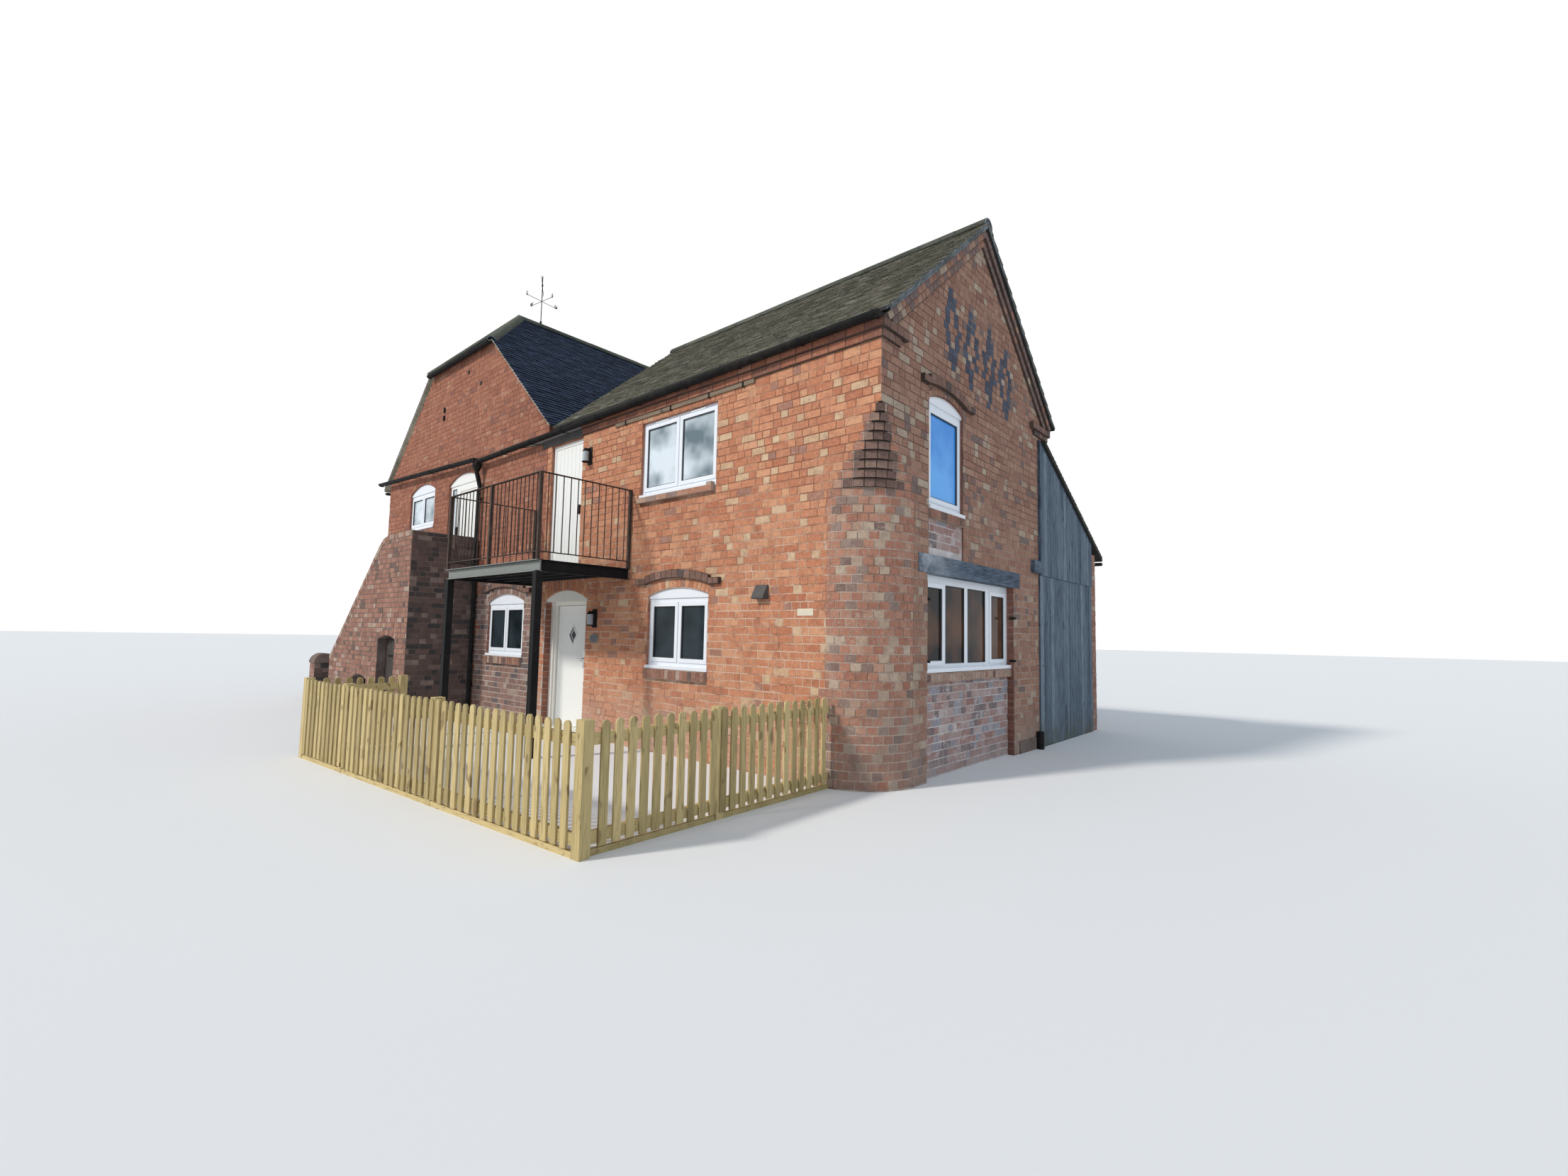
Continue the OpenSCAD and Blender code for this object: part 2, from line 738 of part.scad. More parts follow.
// The plank door over the balcony, and the landing door with its narrow side light
module upper_doors() {
    o = balcony_doorway;
    l = landing_doorway;
    panel = [l[0] + 460, l[1] - 150];
    color(white_frame) site() {
        along_y(45, 115) difference() {
            opening(o);
            translate([o[0] + 60, o[2] + 20]) square([width(o) - 120, o[3] - o[2] - 80]);
        }
        block([o[0] + 60, 60, o[2] + 20], [o[1] - 60, 105, o[3] - 60]);
        along_y(reveal + 12, reveal + frame_t) difference() {
            opening(l);
            light_shapes([landing_side_light(l)]);
        }
        along_y(reveal, reveal + 12) difference() {
            translate([l[0] + 350, l[2] + 30]) square([width(l) - 410, l[3] - l[2] - 90]);
            translate([panel[0], l[2] + 150]) square([panel[1] - panel[0], 620]);
            translate([panel[0], l[2] + 890]) square([panel[1] - panel[0], l[3] - l[2] - 1060]);
        }
        along_y(reveal - 6, reveal + 12) intersection() {
            opening(l);
            translate([l[0], l[3] - 34]) square([width(l), l[4] + 60]);
        }
    }
}

balcony_left = -6750;
balcony_right = balcony_left + balcony_w;
channel_h = 150;
post_w = 90;

// Steel channel between two points of its outer face at deck level, flanges outwards
module channel(len) {
    low = deck_z - channel_h;
    along_x(0, len) polygon([[0, low], [60, low], [60, deck_z], [0, deck_z], [0, deck_z - 11],
        [42, deck_z - 11], [42, low + 11], [0, low + 11]]);
}

module balcony_frame() {
    low = deck_z - channel_h;
    color(steel) site() {
        translate([balcony_left, -balcony_d, 0]) channel(balcony_w);
        translate([balcony_right, -balcony_d + 60, 0]) rotate([0, 0, 90]) channel(balcony_d - 65);
        translate([balcony_left, -5, 0]) rotate([0, 0, -90]) channel(balcony_d - 65);
        block([balcony_left + 60, -balcony_d + 60, deck_z - 30], [balcony_right - 60, -5, deck_z - 3]);
        for (x = [balcony_left, balcony_right - post_w])
            block([x, -balcony_d, 0], [x + post_w, -balcony_d + post_w, low]);
        for (i = [1:4]) translate([0, -balcony_d + 60 + i * (balcony_d - 65) / 5, 0])
            block([balcony_left + 60, -28, low + 25], [balcony_right - 60, 28, deck_z - 30]);
    }
}

// A run of guard rail in X and Z: two rails and plain round balusters
module guard(len, count) {
    top = deck_z + rail_h;
    translate([0, -20, top - 12]) cube([len, 40, 12]);
    translate([0, -15, deck_z + 95]) cube([len, 30, 12]);
    for (i = [1:count]) translate([i * len / (count + 1), 0, deck_z + 101])
        cylinder(h = rail_h - 107, r = 7, $fn = 8);
}

module balcony_railing() {
    top = deck_z + rail_h;
    y_in = -balcony_d + 20;
    color(steel) site() {
        translate([balcony_left, y_in, 0]) guard(balcony_w, 24);
        for (x = [balcony_left + 20, balcony_right - 20])
            translate([x, y_in, 0]) rotate([0, 0, 90]) guard(balcony_d - 25, 12);
        for (x = [balcony_left, balcony_left + balcony_w / 2 - 20, balcony_right - 40])
            block([x, -balcony_d, deck_z], [x + 40, -balcony_d + 40, top]);
        for (x = [balcony_left, balcony_right - 40])
            block([x, -45, deck_z], [x + 40, -5, top]);
    }
}

// Outside stair: raked parapet wall with two arched openings, end wall and foot pier
parapet_z = 3280;
parapet_foot_z = 945;

module stair_walls() {
    color(dark_brick) site() {
        along_y(-stair_d, -stair_d + stair_wall) difference() {
            polygon([[stair_left, 0], [stair_right, 0], [stair_right, parapet_z - 12],
                [stair_right - 60, parapet_z], [landing_x + 350, parapet_z], [landing_x + 90, parapet_z - 45],
                [landing_x - 110, parapet_z - 165], [stair_left, parapet_foot_z]]);
            opening(store_doorway);
            opening(kennel);
        }
        along_y(-stair_d + stair_wall, 0) polygon([[stair_right - stair_wall, 0], [stair_right, 0],
            [stair_right, parapet_z - 12], [stair_right - 60, parapet_z],
            [stair_right - stair_wall, parapet_z]]);
        block([pier_left, -1270, 0], [pier_left + 350, -900, 770]);
        translate([pier_left - 20, -1085, 770]) rotate([0, 90, 0]) difference() {
            cylinder(h = 390, r = 205);
            translate([0, -300, -1]) cube([300, 600, 400]);
        }
    }
}

// The flight as one solid: stepped on top, a straight soffit under it, then the landing
module stair_steps() {
    rise = deck_z / risers;
    going = (landing_x - stair_left) / (risers - 1);
    edge = [for (i = [0:risers - 2], j = [0, 1]) [stair_left + i * going, (i + j) * rise]];
    color("#8f8379") site() along_y(-stair_d + stair_wall, 0) polygon(concat(edge,
        [[landing_x, (risers - 1) * rise], [landing_x, deck_z], [stair_right - stair_wall, deck_z],
            [stair_right - stair_wall, deck_z - 160], [landing_x, deck_z - 160 - rise],
            [stair_left + 1.4 * going, 0]]));
}

store_y = -1000;

// Dark frame of the store door with the board that fills the arch
module store_door_frame() {
    o = store_doorway;
    color("#3b322d") site() {
        along_y(store_y + 5, store_y + 30) intersection() {
            opening(o);
            translate([o[0], o[3]]) square([width(o), 200]);
        }
        along_y(store_y + 41, store_y + 81) difference() {
            translate([o[0], 0]) square([width(o), o[3]]);
            translate([o[0] + 60, -1]) square([width(o) - 120, o[3] - 80]);
        }
    }
}

module store_door() {
    o = store_doorway;
    color("#3b322d") site() block([o[0] + 8, store_y, 25], [o[1] - 8, store_y + 35, o[3] - 8]);
}

// Half-round gutter between two points, open side up
module gutter_run(from, to, radius = 56) {
    d = to - from;
    len = norm(d);
    translate(from) rotate([0, 0, atan2(d.y, d.x)]) rotate([0, 90 - asin(d.z / len), 0]) difference() {
        cylinder(h = len, r = radius);
        translate([0, 0, 3]) cylinder(h = len - 6, r = radius - 4);
        translate([-radius, -radius, -1]) cube([radius, 2 * radius, len + 2]);
    }
}

// Gutters of all the eaves, and the pipe that drains the front ones
module rainwater_goods() {
    hip_gutter_z = half_hip_z - kiln_verge * hip_slope - eave_t / cos(half_hip_pitch) - 14;
    half_hip_w = (kiln_ridge_z - half_hip_z) / kiln_slope + 50;
    west_z = kiln_top(kiln_left - kiln_eave_tip) - eave_t / cos(kiln_pitch) - 14;
    lean_z = lean_top(kiln_back + lean_eave_tip) - eave_t / cos(lean_pitch) - 60;
    pipe_x = stair_right + 60;
    color(iron) site() {
        gutter_run([60, -126, 4800], [pipe_x + 40, -126, 4705], 60);
        gutter_run([kiln_left - 270, -132, 4955], [pipe_x - 40, -132, 4760], 60);
        for (y = [-102, kiln_back + 102])
            gutter_run([kiln_mid - half_hip_w, y, hip_gutter_z], [kiln_mid + half_hip_w, y, hip_gutter_z]);
        gutter_run([kiln_left - kiln_eave_tip - 20, -20, west_z],
            [kiln_left - kiln_eave_tip - 20, kiln_back + 60, west_z - 20]);
        gutter_run([60, kiln_back + lean_eave_tip + 30, lean_z],
            [kiln_right + 20, kiln_back + lean_eave_tip + 30, lean_z - 20]);
        translate([pipe_x, -60, 20]) cylinder(h = 4230, r = 34);
        hull() {
            translate([pipe_x, -60, 4235]) cylinder(h = 30, r = 37);
            translate([pipe_x, -128, 4480]) cylinder(h = 30, r = 37);
        }
        hull() {
            translate([pipe_x, -128, 4495]) cylinder(h = 10, r = 40);
            translate([pipe_x, -128, 4610]) cylinder(h = 40, r = 82);
        }
    }
}

// Two lanterns on back plates, and the hood of the wall vent
module lanterns() {
    color(iron) site() for (p = [[-4900, 1617], [-5200, 4088]]) {
        block([p[0] - 55, -14, p[1]], [p[0] + 55, 0, p[1] + 270]);
        block([p[0] - 16, -100, p[1] + 222], [p[0] + 16, -14, p[1] + 240]);
        translate([p[0], -85, p[1] + 192]) cylinder(h = 40, r1 = 52, r2 = 26);
        translate([p[0], -85, p[1] + 38]) cylinder(h = 160, r = 44);
        translate([p[0], -85, p[1] + 24]) cylinder(h = 16, r = 50);
    }
    color("#8d9296") site() {
        along_x(-1655, -1475) polygon([[0, 1960], [-92, 1960], [-98, 1974], [-28, 2120], [0, 2120]]);
    }
}

// A run of picket fence from one point to another, with its posts
picket_foot = 62;

module fence(from, to, posts) {
    d = to - from;
    len = norm(d);
    count = floor((len - 60) / picket_pitch);
    start = (len - (count - 1) * picket_pitch) / 2;
    translate([from.x, from.y, 0]) rotate([0, 0, atan2(d.y, d.x)]) {
        for (z = [85, picket_h - 172]) translate([0, 0, z]) cube([len, 38, 85]);
        cube([len, 32, 45]);
        for (i = [0:count - 1]) translate([start + i * picket_pitch, 0, 0]) {
            translate([-35, -20, picket_foot]) cube([70, 20, picket_h - 35 - picket_foot]);
            translate([0, 0, picket_h - 35]) rotate([90, 0, 0]) cylinder(h = 20, r = 35);
        }
        for (x = posts) translate([x * len - 45, -4, 0]) cube([90, 90, picket_h + 10]);
    }
}

module fence_front() {
    color(pine) site() fence(fence_end, fence_corner, [0, 0.225, 0.6, 1]);
}

module fence_right() {
    color(pine) site() fence([fence_corner.x, fence_corner.y + 100], [fence_corner.x - 80, 0], [0.45]);
}

module fence_left() {
    color(pine) site() fence([fence_end.x, fence_end.y + 1050], [fence_end.x, fence_end.y + 100], [0]);
}

// Weathervane: mast with four arms, and the pointer that turns on it
mast_y = 1640;

arm_z = 8930;

module vane_mast() {
    foot = kiln_ridge_z + 25;
    color(iron) site() translate([kiln_mid, mast_y, 0]) {
        translate([0, 0, foot]) cylinder(h = pointer_z - 34 - foot, r = 9);
        translate([0, 0, foot]) cylinder(h = 60, r = 22);
        for (a = [7:90:277]) rotate([0, 0, a]) {
            translate([0, 0, arm_z]) rotate([0, 90, 0]) cylinder(h = 350, r = 5);
            translate([350, -4, arm_z - 12]) cube([40, 8, 24]);
        }
    }
}

// The pointer: a hub, a spine, a leaf-shaped blade in front and a smaller tail
module vane_pointer() {
    half = pointer_l / 2;
    color(iron) site() translate([kiln_mid, mast_y, pointer_z]) rotate([0, 0, -31]) {
        translate([0, 0, -28]) cylinder(h = 56, r = 16);
        translate([0, 0, 28]) cylinder(h = 190, r = 7);
        rotate([90, 0, 0]) translate([0, 0, -4]) linear_extrude(8) polygon([[-half, 0], [-half, -45],
            [-half + 130, -12], [half - 250, -10], [half - 200, -62], [half, 0], [half - 200, 62],
            [half - 250, 10], [-half + 130, 12], [-half, 45]]);
    }
}

ground_floor();
upper_floor();
rounded_corner();
range_front_wall_lower();
range_front_wall_upper();
gable_wall_lower();
gable_wall_upper();
gable_infill();
gable_lintel();
corbel_courses();
range_back_wall();
range_west_gable();
range_roof();
ridge_tiles();
lean_to_wall();
lean_to_boards();
lean_to_roof();
kiln_front_wall_lower();
kiln_front_wall_upper();
kiln_west_wall();
kiln_back_wall();
kiln_east_wall();
kiln_roof();
hood_moulds();
sills();
window_frames_ground();
window_frames_upper();
window_glass_ground();
window_glass_upper();
front_door_frame();
upper_doors();
balcony_frame();
balcony_railing();
stair_walls();
stair_steps();
store_door_frame();
rainwater_goods();
lanterns();
fence_front();
fence_right();
fence_left();
vane_mast();
front_door();
store_door();
vane_pointer();
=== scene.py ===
import random
from math import asin, atan, ceil, cos, floor, pi, radians, sin, sqrt, tan
import bmesh, bpy
from mathutils import Matrix, Vector


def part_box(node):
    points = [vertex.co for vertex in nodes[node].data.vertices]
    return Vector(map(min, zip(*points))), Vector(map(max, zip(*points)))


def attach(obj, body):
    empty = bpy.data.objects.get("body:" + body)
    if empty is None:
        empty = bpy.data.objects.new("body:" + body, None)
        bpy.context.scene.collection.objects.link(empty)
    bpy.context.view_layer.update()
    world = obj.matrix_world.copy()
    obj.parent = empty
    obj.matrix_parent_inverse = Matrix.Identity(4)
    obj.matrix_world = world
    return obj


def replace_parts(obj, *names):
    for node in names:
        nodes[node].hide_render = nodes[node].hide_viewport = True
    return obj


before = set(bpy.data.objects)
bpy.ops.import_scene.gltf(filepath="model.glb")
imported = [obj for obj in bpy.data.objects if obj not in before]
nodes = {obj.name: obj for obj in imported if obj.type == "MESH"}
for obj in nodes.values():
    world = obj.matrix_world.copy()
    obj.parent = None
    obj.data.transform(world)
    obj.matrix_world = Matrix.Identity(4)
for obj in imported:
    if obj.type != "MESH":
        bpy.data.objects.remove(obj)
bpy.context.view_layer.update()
scene = bpy.context.scene

# the foot of the corner between front wall and gable; x runs along the front, y into the house
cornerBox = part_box("rounded_corner")
datum = Vector((cornerBox[1].x, cornerBox[0].y, 0))
eastward, inward, upward = Vector((1, 0, 0)), Vector((0, 1, 0)), Vector((0, 0, 1))
kilnLeft, kilnRight, kilnBack, rangeBack = -13.6, -6.45, 7.15, 4.65
stairFace, stairEnd = -1.145, -8.85
courseHigh = 0.091  # a brick with its bed joint
reveal = 0.004  # how deep behind a wall's face its openings' coursed brick begins


def at(x, y, z):
    return datum + Vector((x, y, z))


def feed(tree, node, feeds):
    for key, value in feeds.items():
        socket = node.inputs[key]
        if isinstance(value, bpy.types.NodeSocket):
            tree.links.new(value, socket)
        else:
            socket.default_value = (*value, 1) if socket.type == "RGBA" else value


# adds a node with its options and feeds, and hands back one of its outputs
def addNode(tree, kind, feeds, out=0, **options):
    node = tree.nodes.new(kind)
    for key, value in options.items():
        setattr(node, key, value)
    feed(tree, node, feeds)
    return node.outputs[out] if node.outputs else None


# one finish on a Principled shader
class Coat:
    def __init__(self, name):
        self.mat = bpy.data.materials.new(name)
        self.mat.use_nodes = True
        self.tree = self.mat.node_tree
        self.shader = next(n for n in self.tree.nodes if n.type == "BSDF_PRINCIPLED")

    def add(self, kind, feeds, out=0, **options):
        return addNode(self.tree, "ShaderNode" + kind, feeds, out, **options)

    def noise(self, scale, detail=4, rough=0.6, stretch=None):
        spot = self.add("TexCoord", {}, "Object")
        if stretch:
            spot = self.add("Mapping", {"Vector": spot, "Scale": stretch}, "Vector")
        feeds = {"Vector": spot, "Scale": scale, "Detail": detail, "Roughness": rough}
        return self.add("TexNoise", feeds, "Fac")

    def axis(self, name):
        return self.add("SeparateXYZ", {"Vector": self.add("TexCoord", {}, "Object")}, name)

    def mask(self, value, low, high, top=1.0, bottom=0.0):
        feeds = {"Value": value, "From Min": low, "From Max": high, "To Min": bottom, "To Max": top}
        return self.add("MapRange", feeds, "Result")

    def maths(self, kind, a, b=0.0):
        return self.add("Math", {0: a, 1: b}, operation=kind)

    def mix(self, mask, under, over):
        return self.add("Mix", {"Factor": mask, "A": under, "B": over}, "Result", data_type="RGBA")

    # the shade that each brick, tile or board carries, as a colour
    def shades(self, stops):
        ramp = self.tree.nodes.new("ShaderNodeValToRGB")
        points = ramp.color_ramp.elements
        while len(points) < len(stops):
            points.new(0.5)
        for point, (place, *colour) in zip(points, stops):
            point.position = place
            point.color = (*colour, 1)
        feed(self.tree, ramp, {"Fac": self.add("Attribute", {}, "Fac", attribute_name="shade")})
        return ramp.outputs["Color"]

    def layers(self, colour, *rows):
        for value, low, high, strength, over in rows:
            colour = self.mix(self.mask(value, low, high, strength), colour, over)
        return colour

    # a patchy tint fading down to a foot: its top and colour, and its foot and axis where that isn't the
    # ground
    def stained(self, colour, foot, scale, low, high):
        if not foot:
            return colour
        top, tint, bottom, axis = (*foot, 0.0, "Z")[:4]
        climb = self.mask(self.axis(axis), top, bottom)
        patch = self.mask(self.noise(scale, 6, 0.7), low, high)
        return self.mix(self.maths("MULTIPLY", climb, patch), colour, tint)

    def done(self, colour, rough, height, strength, distance, spec=0.5, metal=0.0):
        bump = self.add("Bump", {"Height": height, "Strength": strength, "Distance": distance}, "Normal")
        feed(self.tree, self.shader, {"Base Color": colour, "Roughness": rough, "Specular IOR Level": spec,
                                      "Metallic": metal, "Normal": bump})
        return self.mat


# burnt clay: soot, pale grit and lime smears over each brick's or tile's own shade
def clay(name, stops, soot=(0.22, 0.105, 0.07), bloom=(0.66, 0.44, 0.3), smear=None, reach=(0.56, 0.66),
         fade=None, foot=None, rough=0.9, cloudy=0.42, dirty=0.3, mottle=0.5, spec=0.25):
    coat = Coat(name)
    cloud, blotch = coat.noise(11, 6, 0.7), coat.noise(0.9, 6, 0.66)
    fleck, grain = coat.noise(30, 8, 0.78), coat.noise(95, 5, 0.7)
    colour = coat.layers(coat.shades(stops), (cloud, 0.46, 0.66, cloudy, soot),
                         (blotch, 0.48, 0.68, dirty, soot), (fleck, 0.52, 0.68, mottle, bloom),
                         (fleck, 0.47, 0.34, mottle * 0.8, soot), (grain, 0.54, 0.74, 0.22, bloom))
    if smear:
        wash = coat.mask(coat.noise(5.5, 9, 0.78, (1, 1, 1.9)), *reach, smear[0])
        if fade:
            wash = coat.maths("MULTIPLY", wash, coat.mask(coat.axis("Z"), fade[1], fade[0], 1.0, fade[2]))
        colour = coat.mix(wash, colour, smear[1])
    worn = coat.mask(grain, 0.3, 0.7, min(1.0, rough + 0.08), rough - 0.08)
    pits = coat.maths("ADD", cloud, coat.maths("MULTIPLY", fleck, 0.7))
    return coat.done(coat.stained(colour, foot, 2.6, 0.3, 0.62), worn, pits, 0.8, 0.005, spec)


# a wall's own solid: mortar, sooted or bleached higher up, with coursed brick inside the reveals
def mortar(name, colour, dark, patchy=(0.4, 0.62), upper=None, inside=None):
    coat = Coat(name)
    big, sand = coat.noise(2.3, 7, 0.72), coat.noise(240, 4, 0.7)
    tone = coat.mix(coat.mask(big, *patchy), colour, dark)
    if upper:
        start, end, pale, sooty = upper
        worn = coat.mix(coat.mask(big, 0.36, 0.52), pale, sooty)
        tone = coat.mix(coat.mask(coat.axis("Z"), start, end), tone, worn)
    tone = coat.layers(tone, (sand, 0.4, 0.7, 0.25, dark))
    if inside:
        axis, face, way, light, deep = inside
        course = coat.maths("FRACT", coat.maths("DIVIDE", coat.axis("Z"), courseHigh))
        brick = coat.mix(coat.mask(coat.noise(9, 5, 0.65), 0.35, 0.65), light, deep)
        brick = coat.layers(brick, (course, 0.86, 0.9, 0.6, tone))
        tone = coat.mix(coat.mask(coat.axis(axis), face, face + way * 0.003), tone, brick)
    return coat.done(tone, 0.95, sand, 0.6, 0.002, 0.2)


def paint(name, colour, worn, rough=0.4, metal=0.0, grime=0.12, streak=None, spec=0.4):
    coat = Coat(name)
    patch, fine = coat.noise(6, 5, 0.65, streak), coat.noise(120, 3)
    tone = coat.layers(colour, (patch, 0.46, 0.7, grime * 2, worn), (fine, 0.55, 0.8, grime, worn))
    sheen = coat.mask(patch, 0.3, 0.7, rough + 0.12, rough - 0.06)
    return coat.done(tone, sheen, fine, 0.12, 0.001, spec, metal)


# sawn wood: grain runs along one axis, and each board has its own shade
def wood(name, stops, along, dark=(0.22, 0.16, 0.09), rough=0.7, bump=0.35, foot=None, grainy=0.55,
         knots=0.7):
    coat = Coat(name)

    def veins(scale, detail, soft, long, across):
        return coat.noise(scale, detail, soft, tuple(long if a == along else across for a in "xyz"))

    grain, wide = veins(1.6, 6, 0.6, 3.0, 42.0), veins(0.5, 3, 0.5, 1.6, 12.0)
    knot, pale = veins(7.0, 2, 0.4, 0.75, 1.5), stops[-1][1:]
    colour = coat.layers(coat.shades(stops), (grain, 0.47, 0.66, grainy, dark),
                         (grain, 0.45, 0.34, grainy * 0.6, pale), (wide, 0.4, 0.62, 0.35, pale),
                         (knot, knots, knots + 0.05, 0.8, dark))
    return coat.done(coat.stained(colour, foot, 4, 0.35, 0.6), rough, grain, bump, 0.003)


# glass as an opaque colour: the lighter tone, spread by a broad noise over the deep one, is a painted
# reflection, and a dark deep tone is painted shade of the room behind
def glass(name, deep, light, ior=1.38):
    coat = Coat(name)
    wave = coat.noise(1.3, 3, 0.5)
    coat.shader.inputs["IOR"].default_value = ior
    return coat.done(coat.mix(coat.mask(wave, 0.4, 0.6), deep, light), 0.06, wave, 0.03, 0.01)


